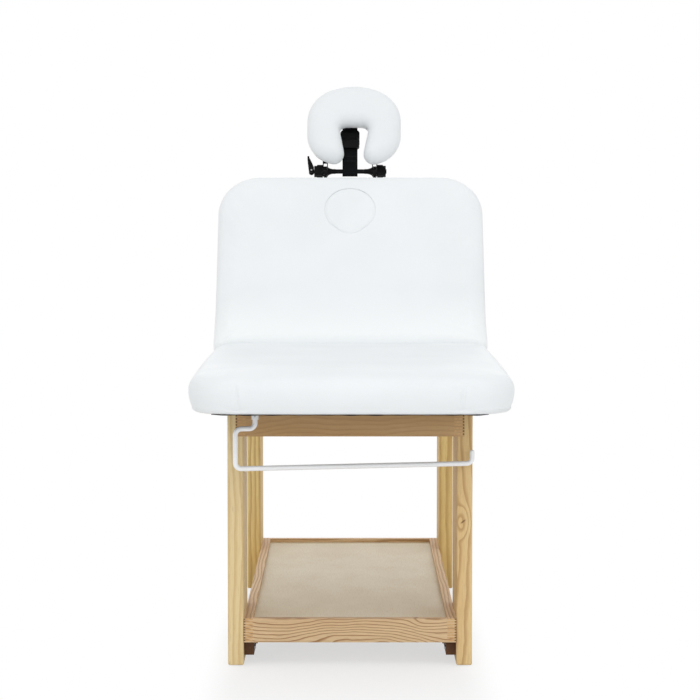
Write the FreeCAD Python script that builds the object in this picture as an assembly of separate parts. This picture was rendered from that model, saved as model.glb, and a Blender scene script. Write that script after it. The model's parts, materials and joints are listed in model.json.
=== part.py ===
"""Massage table: comb-jointed wooden base with a shelf, upholstered seat, lifting backrest
with a face hole and plug, paper roll holder and an adjustable face cradle.

Millimetres. +X is to the right seen from the foot end, +Y runs from foot to head, +Z is up.
Y is measured from the seat's foot end while the pieces are made. At the end all of them move
back by half the table's length, so that the origin is on the floor under the middle of the part.
Pieces of the backrest are made lying flat, in coordinates u along the backrest from the hinge
and n square to it, and are then turned up about the hinge by the resting angle.
"""
import FreeCAD
import Part
import math
import os

Vector = FreeCAD.Vector

# Top: pads and boards
TOP_WIDTH = 766.0
PAD_CORNER = 118.0
SKIRT = 22.0
FRAME_TOP = 632.0
BOARD_THICK = 15.0
PAD_THICK = 75.0
BOARD_TOP = FRAME_TOP + BOARD_THICK
# Heights above the pad's lower edge with the inset of its outline there: drawn in below, crowned above
PAD_PROFILE = ((0, 15), (14, 7), (34, 1.5), (54, 0), (70, 4.5), (80, 14), (86.5, 31), (90, 62))

# Backrest hinge
HINGE_Y = 1235.0
HINGE_Z = 620.0
BACK_ANGLE = 58.0
END_SLANT = 32.0
BOARD_GAP = 22.0
BACK_LENGTH = 619.0
BACK_BOARD_THICK = 14.0
BACK_TOP_N = BOARD_TOP - HINGE_Z
BACK_LOW_N = BACK_TOP_N - BACK_BOARD_THICK
PAD_TOP_N = BACK_TOP_N + PAD_THICK

# Legs and upper frame
LEG_OUT = 295.0
LEG_THICK = 38.0
LEG_DEEP = 225.0
LEG_ROUND = 4.0
LEG_IN = LEG_OUT - LEG_THICK
BASE_FRONT = 251.0
BASE_REAR = 1610.0
GLIDE_THICK = 2.0
RAIL_OUT = 275.0
RAIL_THICK = 24.0
RAIL_TALL = 74.0
RAIL_LOW = FRAME_TOP - RAIL_TALL
RAIL_IN = RAIL_OUT - RAIL_THICK
RAIL_FINGERS = 20
CROSS_TALL = 60.0
CROSS_YS = (640.0, 1040.0)

# Shelf
SHELF_OUT = LEG_IN
SHELF_RAIL_THICK = 22.0
SHELF_LOW = 58.0
SHELF_TALL = 58.0
SHELF_FINGERS = 18
PANEL_THICK = 9.0
PANEL_DROP = 10.0
PANEL_GROOVE = 6.0
BEARER_WEB = 24.0
BEARER_FLANGE = 33.0
BEARER_FLANGE_THICK = 7.0
BEARER_LOW = 23.0
BEARER_SETBACK = 24.0

# Fasteners
BOLT_R = 4.0
BOLT_HEAD_R = 6.5
BOLT_HEAD_TALL = 6.0
NUT_TALL = 6.5
SCREW_R = 2.5
SCREW_HEAD_R = 5.0
SCREW_HEAD_TALL = 3.0
HOLE_ROOM = 0.2
LEG_BOLT_DYS = (55.0, 170.0)
BOLT_Z = 595.0

# Ratchet hinges, seen from the rail inwards
HINGE_PLATE = 4.0
HINGE_HEAD_R = 21.0
RATCHET_THICK = 6.0
RATCHET_TEETH = 24
TOOTH_DEEP = 2.5
HINGE_PLATE_LONG = 150.0
HINGE_ARM_LONG = 150.0
PIN_R = 4.0
RUN_ROOM = 0.05
SIDE_ROOM = 0.3
BATTEN_WIDE = 24.0
BATTEN_LOW_N = -18.0

# Face hole and plug, an egg of two circles
HOLE_U = 475.0
HOLE_BIG_R = 73.0
HOLE_SMALL_R = 52.0
HOLE_STEP = 27.0
PLUG_ROOM = 0.6
PLUG_BOARD_THICK = 9.0
LEDGE = 14.0

# Paper roll holder
ROLL_X = -223.0
ROLL_Y = 120.0
ROLL_YAW = 11.5
ROLL_ROD_R = 6.0
ROLL_JOG = 47.0
ROLL_BAR = 526.0
ROLL_BAR_Z = 496.0
ROLL_JOG_Z = 590.0
ROLL_UPTURN = 27.0
ROLL_BEND = 14.0
DUST_THICK = 1.5
SOCKET_FLANGE_R = 13.0
SOCKET_BARREL_R = 8.5
SOCKET_FLANGE = 3.0
SOCKET_DEEP = 16.0

# Face cradle: rods, crossbar and head
ROD_X = 72.0
ROD_R = 8.0
ROD_N = -3.0
ROD_IN_U = 470.0
SOCKET_U = 430.0
SOCKET_END_U = 612.0
SOCKET_HALF = 16.0
BAR_U = 673.0
BAR_N = 17.0
BAR_R = 6.5
LUG_HALF = 4.7
EYE_R = 15.0
EAR_THICK = 2.5
BLOCK_LONG = 25.0
BLOCK_TALL = 34.0
BLOCK_DEEP = 26.0
CONE_LONG = 22.0
CONE_R = 12.5
PLATFORM_N = 35.0
PLATFORM_THICK = 10.0
PLATFORM_INSET = 20.0
CUSHION_N = PLATFORM_N + PLATFORM_THICK
# Heights above the platform with the inset of the horseshoe's outline there
CUSHION_PROFILE = ((0, 11), (7, 4.5), (20, 0), (36, 1), (48, 7), (55, 15), (60, 27))
SHOE_TOP = 928.0
SHOE_HALF = 137.0
SHOE_TOP_R = 180.0
SHOE_UPPER_R = 112.0
SHOE_LOWER_R = 95.0
SHOE_LOWER_U = 763.0
SHOE_TIP_R = 30.0
SHOE_GAP = 56.0
SHOE_HOLE_HALF = 41.0
SHOE_HOLE_ROUND = 20.0
SHOE_HOLE_TOP = 797.0
STRAP_WIDE = 44.0
STRAP_THICK = 2.0
BUCKLE_U0 = 742.0
BUCKLE_U1 = 802.0
BUCKLE_THICK = 12.0


def box(x0, x1, y0, y1, z0, z1):
    """Box between two corners."""
    return Part.makeBox(x1 - x0, y1 - y0, z1 - z0, Vector(x0, y0, z0))


def rod(start, direction, radius, length):
    """Round bar from a start point."""
    return Part.makeCylinder(radius, length, Vector(*start), Vector(*direction))


def tube(start, direction, radius, bore, length):
    """Round bar with a bore right through."""
    return rod(start, direction, radius, length).cut(rod(start, direction, bore, length))


def mirrored(shape):
    """The same piece on the other side of the table."""
    return shape.mirror(Vector(0, 0, 0), Vector(1, 0, 0))


def polygon_prism(points, direction):
    """Prism on a closed polygon of points."""
    corners = [Vector(*point) for point in points]
    face = Part.Face(Part.makePolygon(corners + corners[:1]))
    return face.extrude(Vector(*direction))


def arc(start, middle, end):
    """Arc edge through three points."""
    return Part.Arc(start, middle, end).toShape()


def line(start, end):
    """Straight edge."""
    return Part.LineSegment(start, end).toShape()


def back(x, u, n):
    """Point of the backrest lying flat."""
    return Vector(x, HINGE_Y + u, HINGE_Z + n)


def back_box(x0, x1, u0, u1, n0, n1):
    """Box in the backrest's own coordinates, lying flat."""
    return box(x0, x1, HINGE_Y + u0, HINGE_Y + u1, HINGE_Z + n0, HINGE_Z + n1)


def raised(shape):
    """The backrest's piece turned up to the resting angle."""
    turned = shape.copy()
    turned.rotate(Vector(0, HINGE_Y, HINGE_Z), Vector(1, 0, 0), BACK_ANGLE)
    return turned


# Wooden base

def finger_slices(corner, low, tall, count, odd):
    """Every second finger of a comb joint's corner block, given as (x0, x1, y0, y1)."""
    step = tall / count
    return [box(*corner, low + i * step, low + (i + 1) * step) for i in range(odd, count, 2)]


def comb_box(out_x, thick, low, tall, count):
    """Four rails joined at their corners by comb joints: front, rear, left and right."""
    in_x = out_x - thick
    high = low + tall
    front = box(-out_x, out_x, BASE_FRONT, BASE_FRONT + thick, low, high)
    rear = box(-out_x, out_x, BASE_REAR - thick, BASE_REAR, low, high)
    sides = [box(-out_x, -in_x, BASE_FRONT, BASE_REAR, low, high),
             box(in_x, out_x, BASE_FRONT, BASE_REAR, low, high)]
    for index, (x0, x1) in enumerate(((-out_x, -in_x), (in_x, out_x))):
        front_corner = (x0, x1, BASE_FRONT, BASE_FRONT + thick)
        rear_corner = (x0, x1, BASE_REAR - thick, BASE_REAR)
        front = front.cut(finger_slices(front_corner, low, tall, count, 1))
        rear = rear.cut(finger_slices(rear_corner, low, tall, count, 1))
        taken = finger_slices(front_corner, low, tall, count, 0)
        taken += finger_slices(rear_corner, low, tall, count, 0)
        sides[index] = sides[index].cut(taken)
    return front, rear, sides[0], sides[1]


def leg_places():
    """Each leg's name with its side and the Y of its front face."""
    rear_y = BASE_REAR - LEG_DEEP
    return (("leg_front_left", -1, BASE_FRONT), ("leg_front_right", 1, BASE_FRONT),
            ("leg_rear_left", -1, rear_y), ("leg_rear_right", 1, rear_y))


def side_rods(z, radius, inner, outer, side_filter=None):
    """Round bars along X at each leg's two fastener places, between two distances from the middle."""
    bars = []
    for _, side, y in leg_places():
        if side_filter in (None, side):
            bars += [rod((side * outer, y + dy, z), (-side, 0, 0), radius, outer - inner)
                     for dy in LEG_BOLT_DYS]
    return bars


def leg(side, y):
    """Leg board with a rebate at its top for the frame and holes for its bolts and screws."""
    board = box(LEG_IN, LEG_OUT, y, y + LEG_DEEP, GLIDE_THICK, FRAME_TOP)
    arrises = [edge for edge in board.Edges if edge.BoundBox.ZMin < FRAME_TOP - 1]
    board = board.makeFillet(LEG_ROUND, arrises)
    board = board.cut(box(LEG_IN, RAIL_OUT, y, y + LEG_DEEP, RAIL_LOW, FRAME_TOP))
    if side < 0:
        board = mirrored(board)
    shelf_z = SHELF_LOW + SHELF_TALL / 2
    bearer_z = (BEARER_LOW + SHELF_LOW - BEARER_FLANGE_THICK) / 2
    head_bottom = LEG_OUT - BOLT_HEAD_TALL - 1
    holes = side_rods(BOLT_Z, BOLT_R + HOLE_ROOM, RAIL_IN, LEG_OUT, side)
    holes += side_rods(BOLT_Z, BOLT_HEAD_R + HOLE_ROOM, head_bottom, LEG_OUT, side)
    holes += side_rods(shelf_z, SCREW_R + HOLE_ROOM, LEG_IN, LEG_OUT, side)
    holes += side_rods(shelf_z, SCREW_HEAD_R + HOLE_ROOM, LEG_OUT - SCREW_HEAD_TALL - 1, LEG_OUT, side)
    holes += side_rods(bearer_z, SCREW_R + HOLE_ROOM, LEG_IN, LEG_IN + 20, side)
    return board.cut(holes)


def hexagon(centre, across, length):
    """Hexagonal prism along X from a centre point, given its size across the corners."""
    x, y, z = centre
    corners = [(x, y + across / 2 * math.cos(k * math.pi / 3), z + across / 2 * math.sin(k * math.pi / 3))
               for k in range(6)]
    return polygon_prism(corners, (length, 0, 0))


def leg_fasteners():
    """Bolts and nuts of the upper frame, and screws of the shelf and its bearers."""
    bolts, nuts, screws = [], [], []
    shelf_z = SHELF_LOW + SHELF_TALL / 2
    bearer_z = (BEARER_LOW + SHELF_LOW - BEARER_FLANGE_THICK) / 2
    for _, side, y in leg_places():
        for dy in LEG_BOLT_DYS:
            head_x = side * (LEG_OUT - 1)
            bolt = rod((head_x, y + dy, BOLT_Z), (-side, 0, 0), BOLT_HEAD_R, BOLT_HEAD_TALL)
            shank_long = LEG_OUT - 1 - (RAIL_IN - NUT_TALL)
            bolt = bolt.fuse(rod((head_x, y + dy, BOLT_Z), (-side, 0, 0), BOLT_R, shank_long))
            bolts.append(bolt.cut(hexagon((head_x, y + dy, BOLT_Z), 6.8, -side * 3)))
            nut = hexagon((side * RAIL_IN, y + dy, BOLT_Z), 15, -side * NUT_TALL)
            nuts.append(nut.cut(rod((side * RAIL_IN, y + dy, BOLT_Z), (-side, 0, 0), BOLT_R + HOLE_ROOM,
                                    NUT_TALL)))
            screws.append(wood_screw((side * (LEG_OUT - 1), y + dy, shelf_z), (-side, 0, 0), 52))
            web_x = side * (LEG_IN - BEARER_WEB)
            screws.append(wood_screw((web_x - side * SCREW_HEAD_TALL, y + dy, bearer_z), (side, 0, 0), 44))
    return bolts, nuts, screws


def wood_screw(start, direction, length):
    """Screw with a flat head at its start and a cross recess in the head."""
    head = rod(start, direction, SCREW_HEAD_R, SCREW_HEAD_TALL)
    screw = head.fuse(rod(start, direction, SCREW_R, length))
    along = Vector(*direction)
    across = Vector(0, 1, 0) if abs(along.y) < 0.5 else Vector(1, 0, 0)
    for spoke in (across, along.cross(across)):
        slot = polygon_prism(
            [Vector(*start) + spoke * a + along.cross(spoke) * b
             for a, b in ((-3, -0.6), (3, -0.6), (3, 0.6), (-3, 0.6))], along * 1.4)
        screw = screw.cut(slot)
    return screw


def shelf_panel():
    """Plywood panel let into grooves of the shelf's rails."""
    half = SHELF_OUT - SHELF_RAIL_THICK + PANEL_GROOVE
    top = SHELF_LOW + SHELF_TALL - PANEL_DROP
    inset = SHELF_RAIL_THICK - PANEL_GROOVE
    return box(-half, half, BASE_FRONT + inset, BASE_REAR - inset, top - PANEL_THICK, top)


def bearer():
    """Right stepped bearer under the shelf, with screw holes into the legs."""
    y0 = BASE_FRONT + BEARER_SETBACK
    y1 = BASE_REAR - BEARER_SETBACK
    flange_z = SHELF_LOW - BEARER_FLANGE_THICK
    web = box(LEG_IN - BEARER_WEB, LEG_IN, y0, y1, BEARER_LOW, flange_z)
    flange = box(LEG_IN - BEARER_FLANGE, LEG_IN, y0, y1, flange_z, SHELF_LOW)
    holes = side_rods((BEARER_LOW + flange_z) / 2, SCREW_R + HOLE_ROOM, LEG_IN - BEARER_WEB, LEG_IN, 1)
    return web.fuse(flange).removeSplitter().cut(holes)


def foot_glides():
    """Two round glides under each leg."""
    glides = []
    for _, side, y in leg_places():
        for dy in (30, LEG_DEEP - 30):
            x = side * (LEG_OUT - LEG_THICK / 2)
            glide = rod((x, y + dy, 0), (0, 0, 1), 12, GLIDE_THICK)
            glides.append(glide.makeChamfer(1, [glide.Edges[2]]))
    return glides


# Upholstered top

def pad_outline(inset, z, round_y, square_y):
    """Plan outline of a pad: rounded corners at one end, square at the other."""
    away = 1 if square_y > round_y else -1
    half = TOP_WIDTH / 2 - inset
    radius = PAD_CORNER - inset
    edge_y = round_y + away * inset
    centre_y = edge_y + away * radius
    turn = radius * math.sqrt(0.5)

    def at(x, y):
        return Vector(x, y, z)

    mid_y = centre_y - away * turn
    left = arc(at(-half, centre_y), at(-half + radius - turn, mid_y), at(-half + radius, edge_y))
    right = arc(at(half - radius, edge_y), at(half - radius + turn, mid_y), at(half, centre_y))
    return Part.Wire([line(at(-half, square_y), at(-half, centre_y)), left,
                      line(at(-half + radius, edge_y), at(half - radius, edge_y)), right,
                      line(at(half, centre_y), at(half, square_y)),
                      line(at(half, square_y), at(-half, square_y))])


def board_plate(inset, low, high, round_y, square_y):
    """Flat board that follows the pad's outline at an inset."""
    return Part.Face(pad_outline(inset, low, round_y, square_y)).extrude(Vector(0, 0, high - low))


def pad_body(round_y, square_y):
    """Crowned pad with drawn-in sides, from the boards' underside up."""
    sections = [pad_outline(inset, FRAME_TOP + height, round_y, square_y) for height, inset in PAD_PROFILE]
    return Part.makeLoft(sections, True, False)


def end_wedge(toward):
    """Everything past the slanted plane at the hinge where a pad ends, on one side of it."""
    tall = 2 * PAD_THICK
    lean = tall * math.tan(math.radians(END_SLANT))
    far = toward * 2 * PAD_THICK
    points = [(-TOP_WIDTH, HINGE_Y, HINGE_Z), (-TOP_WIDTH, HINGE_Y - toward * lean, HINGE_Z + tall),
              (-TOP_WIDTH, HINGE_Y + far, HINGE_Z + tall), (-TOP_WIDTH, HINGE_Y + far, HINGE_Z)]
    return polygon_prism(points, (2 * TOP_WIDTH, 0, 0))


def seat():
    """Seat board, pad and the dust cover below its overhang."""
    reach = HINGE_Y + PAD_THICK / 2
    board = board_plate(SKIRT, FRAME_TOP, BOARD_TOP, 0, HINGE_Y - BOARD_GAP)
    pocket = board_plate(SKIRT, FRAME_TOP - 1, BOARD_TOP, 0, 2 * reach)
    pad = pad_body(0, reach).cut(pocket).cut(end_wedge(1))
    half = TOP_WIDTH / 2 - SKIRT - PAD_CORNER / 3
    cover = box(-half, half, 0, BASE_FRONT - 1, FRAME_TOP - DUST_THICK, FRAME_TOP)
    board_low = FRAME_TOP - 2 * DUST_THICK
    cover = cover.common(board_plate(SKIRT + 2, board_low, FRAME_TOP, 0, HINGE_Y - BOARD_GAP))
    return board, pad, cover


def egg_prism(inset, n0, n1):
    """Egg-shaped prism square to the backrest, wider towards the head, for the face hole."""
    big_u = HOLE_U + HOLE_STEP / 2
    small_u = HOLE_U - HOLE_STEP / 2
    big_r = HOLE_BIG_R - inset
    small_r = HOLE_SMALL_R - inset
    lean = math.asin((HOLE_BIG_R - HOLE_SMALL_R) / HOLE_STEP)
    side = Vector(math.cos(lean), -math.sin(lean), 0)

    def at(u, x, y):
        return back(x, u + y, n0)

    big = at(big_u, side.x * big_r, side.y * big_r)
    big_left = at(big_u, -side.x * big_r, side.y * big_r)
    small = at(small_u, side.x * small_r, side.y * small_r)
    small_left = at(small_u, -side.x * small_r, side.y * small_r)
    top = at(big_u, 0, big_r)
    half = (math.pi / 2 + lean) / 2 - lean
    turn = (math.cos(half) * big_r, math.sin(half) * big_r)
    outline = Part.Wire([
        arc(big, at(big_u, *turn), top), arc(top, at(big_u, -turn[0], turn[1]), big_left),
        line(big_left, small_left), arc(small_left, at(small_u, 0, -small_r), small), line(small, big)])
    return Part.Face(outline).extrude(Vector(0, 0, n1 - n0))


def backrest():
    """Backrest board and pad with the face hole through both, and the plug that closes it."""
    head_y = HINGE_Y + BACK_LENGTH
    low_z = HINGE_Z + BACK_LOW_N
    board = board_plate(SKIRT, low_z, BOARD_TOP, head_y, HINGE_Y + BOARD_GAP)
    board = board.cut(egg_prism(LEDGE, BACK_LOW_N - 1, BACK_TOP_N + 1))
    square_y = HINGE_Y - PAD_THICK / 2
    pocket = board_plate(SKIRT, FRAME_TOP - 1, BOARD_TOP, head_y, square_y - PAD_THICK)
    skirt_room = box(-TOP_WIDTH, TOP_WIDTH, 0, 2 * head_y, 0, low_z)
    pad = pad_body(head_y, square_y).cut(pocket).cut(end_wedge(-1)).cut(skirt_room)
    pad = pad.cut(egg_prism(0, BACK_TOP_N - 1, PAD_TOP_N + 1))
    plug_board = egg_prism(PLUG_ROOM, BACK_TOP_N, BACK_TOP_N + PLUG_BOARD_THICK)
    plug = egg_prism(PLUG_ROOM, BACK_TOP_N + PLUG_BOARD_THICK, PAD_TOP_N)
    rim = [edge for edge in plug.Edges if edge.BoundBox.ZMin > HINGE_Z + PAD_TOP_N - 1]
    plug = plug.makeFillet(4, rim)
    return board, pad, plug_board, plug


# Ratchet hinges, right side

def ratchet_disc(x0):
    """Toothed disc round the hinge axis."""
    points = []
    for k in range(RATCHET_TEETH):
        for share, radius in ((0, HINGE_HEAD_R), (0.75, HINGE_HEAD_R - TOOTH_DEEP)):
            angle = 2 * math.pi * (k + share) / RATCHET_TEETH
            points.append((x0, HINGE_Y + radius * math.cos(angle), HINGE_Z + radius * math.sin(angle)))
    return polygon_prism(points, (RATCHET_THICK, 0, 0))


def hinge_set():
    """Base plate with ratchet disc, pin, arm and pawl of the right hinge, and the screws of both plates."""
    axis = (1, 0, 0)
    disc_x = RAIL_IN - HINGE_PLATE - RATCHET_THICK
    arm_x = disc_x - SIDE_ROOM - HINGE_PLATE
    pin_x = arm_x - SIDE_ROOM
    half = HINGE_Z - FRAME_TOP
    plate = box(RAIL_IN - HINGE_PLATE, RAIL_IN, HINGE_Y - HINGE_PLATE_LONG, HINGE_Y,
                HINGE_Z + 2 * half, FRAME_TOP)
    plate = plate.fuse(rod((RAIL_IN - HINGE_PLATE, HINGE_Y, HINGE_Z), axis, HINGE_HEAD_R, HINGE_PLATE))
    above = box(0, TOP_WIDTH, 0, HINGE_Y - BOARD_GAP, FRAME_TOP, BOARD_TOP)
    base = plate.fuse(ratchet_disc(disc_x)).cut(above)
    base = base.cut(rod((disc_x, HINGE_Y, HINGE_Z), axis, PIN_R + RUN_ROOM, RAIL_IN - disc_x))
    arm = back_box(arm_x, arm_x + HINGE_PLATE, 0, HINGE_ARM_LONG, -11, 11)
    arm = arm.fuse(rod((arm_x, HINGE_Y, HINGE_Z), axis, HINGE_HEAD_R, HINGE_PLATE))
    arm = arm.cut(rod((arm_x, HINGE_Y, HINGE_Z), axis, PIN_R + RUN_ROOM, HINGE_PLATE))
    pawl_x = arm_x + HINGE_PLATE
    pawl_reach = HINGE_HEAD_R + 0.8
    pawl = polygon_prism([back(pawl_x, pawl_reach, -3), back(pawl_x, pawl_reach + 16, -9),
                          back(pawl_x, pawl_reach + 24, -4), back(pawl_x, pawl_reach + 22, 5),
                          back(pawl_x, pawl_reach + 1, 1.5)], (RATCHET_THICK - SIDE_ROOM, 0, 0))
    pin = rod((pin_x, HINGE_Y, HINGE_Z), axis, PIN_R, RAIL_IN - pin_x)
    pin = pin.fuse(rod((pin_x - 3, HINGE_Y, HINGE_Z), axis, 7, 3))
    head_x = RAIL_IN - HINGE_PLATE - SCREW_HEAD_TALL
    base_screws = [wood_screw((head_x, HINGE_Y - dy, HINGE_Z), axis, 22) for dy in (70, 125)]
    arm_head_x = arm_x + HINGE_PLATE + SCREW_HEAD_TALL
    arm_screws = [wood_screw((arm_head_x, HINGE_Y + du, HINGE_Z), (-1, 0, 0), 22) for du in (85, 130)]
    base = base.cut([rod((head_x, HINGE_Y - dy, HINGE_Z), axis, SCREW_R + HOLE_ROOM, 9) for dy in (70, 125)])
    arm = arm.cut([rod((arm_head_x, HINGE_Y + du, HINGE_Z), (-1, 0, 0), SCREW_R + HOLE_ROOM, 9)
                   for du in (85, 130)])
    batten = back_box(arm_x - BATTEN_WIDE, arm_x, 45, 330, BATTEN_LOW_N, BACK_LOW_N)
    batten = batten.cut([rod((arm_x, HINGE_Y + du, HINGE_Z), (-1, 0, 0), SCREW_R + HOLE_ROOM, 16)
                         for du in (85, 130)])
    return base, pin, arm, pawl, batten, base_screws, arm_screws


# Paper roll holder

def roll_rod():
    """Bent round rod: stem, jog, drop, long bar and upturned end, turned about its stem."""
    stem_top = FRAME_TOP - DUST_THICK - SOCKET_FLANGE
    corners = [Vector(0, 0, stem_top), Vector(0, 0, ROLL_JOG_Z), Vector(-ROLL_JOG, 0, ROLL_JOG_Z),
               Vector(-ROLL_JOG, 0, ROLL_BAR_Z), Vector(ROLL_BAR, 0, ROLL_BAR_Z),
               Vector(ROLL_BAR, 0, ROLL_BAR_Z + ROLL_UPTURN)]
    edges = []
    start = corners[0]
    for before, corner, after in zip(corners, corners[1:], corners[2:]):
        back_way = (before - corner).normalize()
        on_way = (after - corner).normalize()
        enter = corner + back_way * ROLL_BEND
        leave = corner + on_way * ROLL_BEND
        middle = corner + (back_way + on_way) * (ROLL_BEND * (1 - math.sqrt(0.5)))
        edges += [line(start, enter), arc(enter, middle, leave)]
        start = leave
    edges.append(line(start, corners[-1]))
    path = Part.Wire(edges)
    ring = Part.Wire([Part.makeCircle(ROLL_ROD_R, corners[0], Vector(0, 0, -1))])
    bent = path.makePipeShell([ring], True, False)
    tip = bent.fuse(Part.makeSphere(ROLL_ROD_R, corners[-1]))
    tip.rotate(Vector(0, 0, 0), Vector(0, 0, 1), ROLL_YAW)
    tip.translate(Vector(ROLL_X, ROLL_Y, 0))
    return tip


def roll_socket():
    """Flanged socket under the seat board, with its set screw and flange screws."""
    top = FRAME_TOP - DUST_THICK
    flange = rod((ROLL_X, ROLL_Y, top - SOCKET_FLANGE), (0, 0, 1), SOCKET_FLANGE_R, SOCKET_FLANGE)
    low = top - SOCKET_FLANGE - SOCKET_DEEP
    socket = flange.fuse(rod((ROLL_X, ROLL_Y, low), (0, 0, 1), SOCKET_BARREL_R, SOCKET_DEEP))
    socket = socket.cut(rod((ROLL_X, ROLL_Y, low), (0, 0, 1), ROLL_ROD_R + RUN_ROOM, SOCKET_DEEP))
    screw_z = low + SOCKET_DEEP / 2
    hole = rod((ROLL_X, ROLL_Y, screw_z), (0, -1, 0), 2 + HOLE_ROOM, 2 * SOCKET_BARREL_R)
    set_screw = rod((ROLL_X, ROLL_Y - ROLL_ROD_R - SIDE_ROOM, screw_z), (0, -1, 0), 2, 3.2)
    return socket.cut(hole), set_screw


# Face cradle

def cradle_socket(side):
    """Socket block under the backrest board that takes one of the cradle's rods."""
    x = side * ROD_X
    block = back_box(x - SOCKET_HALF, x + SOCKET_HALF, SOCKET_U, SOCKET_END_U, BATTEN_LOW_N, BACK_LOW_N)
    return block.cut(rod(back(x, SOCKET_U + 10, ROD_N), (0, 1, 0), ROD_R + RUN_ROOM, SOCKET_END_U))


def cradle_rod(side):
    """Cradle rod with its stop collar and the lug that carries the crossbar."""
    x = side * ROD_X
    end_u = BAR_U - 2 * EYE_R
    shaft = rod(back(x, ROD_IN_U, ROD_N), (0, 1, 0), ROD_R, end_u - ROD_IN_U)
    collar = rod(back(x, SOCKET_END_U, ROD_N), (0, 1, 0), 1.5 * ROD_R, ROD_R)
    lug = polygon_prism([back(x - LUG_HALF, end_u - 12, ROD_N - 7), back(x - LUG_HALF, end_u + 4, ROD_N - 7),
                         back(x - LUG_HALF, BAR_U + 8.7, BAR_N - 12.2),
                         back(x - LUG_HALF, BAR_U - 8.7, BAR_N + 12.2),
                         back(x - LUG_HALF, end_u - 12, ROD_N + 7)], (2 * LUG_HALF, 0, 0))
    eye = rod(back(x - LUG_HALF, BAR_U, BAR_N), (1, 0, 0), EYE_R, 2 * LUG_HALF)
    bore = rod(back(x - 2 * LUG_HALF, BAR_U, BAR_N), (1, 0, 0), BAR_R + RUN_ROOM, 4 * LUG_HALF)
    return shaft.fuse([collar, lug, eye]).cut(bore)


def cradle_bracket(side):
    """Bracket of two thin ears on the crossbar with a web under the platform."""
    inner = LUG_HALF + SIDE_ROOM
    outer = inner + EAR_THICK
    x = side * ROD_X
    web_n = PLATFORM_N - EAR_THICK
    bracket = back_box(x - outer, x + outer, BAR_U + 17, BAR_U + 62, web_n, PLATFORM_N)
    for x0 in (x - outer, x + inner):
        ear = polygon_prism([back(x0, BAR_U - 4, BAR_N + 14.4), back(x0, BAR_U + 10, BAR_N - 11.2),
                             back(x0, BAR_U + 62, web_n - 6), back(x0, BAR_U + 62, PLATFORM_N),
                             back(x0, BAR_U + 17, PLATFORM_N)], (EAR_THICK, 0, 0))
        ear = ear.fuse(rod(back(x0, BAR_U, BAR_N), (1, 0, 0), EYE_R, EAR_THICK))
        bracket = bracket.fuse(ear)
    bore = rod(back(x - 2 * outer, BAR_U, BAR_N), (1, 0, 0), BAR_R + RUN_ROOM, 4 * outer)
    return bracket.cut(bore)


def ear_outside():
    """Distance from the middle to the outer ear's outer face."""
    return ROD_X + LUG_HALF + SIDE_ROOM + EAR_THICK


def cradle_crossbar():
    """Crossbar with a flat tongue at its left end, bored for the cam pin."""
    left = -ear_outside() - BLOCK_LONG
    right = ear_outside() + BLOCK_LONG + 2
    bar = rod(back(left, BAR_U, BAR_N), (1, 0, 0), BAR_R, right - left)
    tongue = back_box(left - 13, left + 1, BAR_U - 5, BAR_U + 5, BAR_N - 3, BAR_N + 3)
    pin_hole = rod(back(left - 8, BAR_U, BAR_N - 10), (0, 0, 1), 2.5 + RUN_ROOM, 20)
    return bar.fuse(tongue).cut(pin_hole)


def clamp_block(side):
    """Moulded block on the crossbar outside the ears, slimmer in its outer third."""
    x0 = ear_outside()
    x1 = x0 + BLOCK_LONG
    waist_x = x1 - BLOCK_LONG / 3

    def tier(start_x, end_x, shrink):
        """Rounded length of the block, drawn in all round."""
        tall, deep = BLOCK_TALL / 2 - shrink, BLOCK_DEEP / 2 - shrink
        length = back_box(start_x, end_x, BAR_U - tall, BAR_U + tall, BAR_N - deep, BAR_N + deep)
        return length.makeFillet(5, [edge for edge in length.Edges if edge.BoundBox.XLength > 1])

    block = tier(x0, waist_x, 0).fuse(tier(waist_x - 1, x1, 2)).removeSplitter()
    block = block.cut(rod(back(x0, BAR_U, BAR_N), (1, 0, 0), BAR_R + RUN_ROOM, BLOCK_LONG))
    return block if side > 0 else mirrored(block)


def cone_washers():
    """Flared washers inside the ears, narrowing towards the middle."""
    x0 = ROD_X - LUG_HALF - SIDE_ROOM - EAR_THICK
    bore = BAR_R + RUN_ROOM

    def at(step, radius):
        return back(x0 - step, BAR_U, BAR_N + radius)

    outline = Part.Wire([line(at(0, bore), at(0, CONE_R)),
                         arc(at(0, CONE_R), at(0.36 * CONE_LONG, 8.6), at(CONE_LONG, 7.4)),
                         line(at(CONE_LONG, 7.4), at(CONE_LONG, bore)),
                         line(at(CONE_LONG, bore), at(0, bore))])
    cone = Part.Face(outline).revolve(back(0, BAR_U, BAR_N), Vector(1, 0, 0), 360)
    return [mirrored(cone), cone]


def cam_lever():
    """Cam lever forked over the crossbar's tongue, hooked up and outwards, with its pin."""
    pin_x = -ear_outside() - BLOCK_LONG - 8
    low_n = BAR_N - 8
    cam = rod(back(pin_x, BAR_U, low_n), (0, 0, 1), 7.6, 16)

    def at(dx, du):
        return back(pin_x + dx, BAR_U + du, low_n)

    outline = Part.Wire([line(at(7.2, 0), at(7.2, 9)), arc(at(7.2, 9), at(-0.5, 29.5), at(-7.2, 44)),
                         arc(at(-7.2, 44), at(-10, 48.5), at(-12.3, 45.5)),
                         arc(at(-12.3, 45.5), at(-10.8, 28), at(-7.4, 2)),
                         line(at(-7.4, 2), at(-7.4, 0)), line(at(-7.4, 0), at(7.2, 0))])
    handle = Part.Face(outline).extrude(Vector(0, 0, 16))
    lever = cam.fuse(handle)
    lever = lever.cut(back_box(pin_x - 12, pin_x + 20, BAR_U - 12, BAR_U + 12, BAR_N - 3.4, BAR_N + 3.4))
    lever = lever.cut(rod(back(pin_x, BAR_U, low_n), (0, 0, 1), 2.5 + RUN_ROOM, 16))
    pin = rod(back(pin_x, BAR_U, low_n - 1), (0, 0, 1), 2.5, 18)
    return lever, pin


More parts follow.
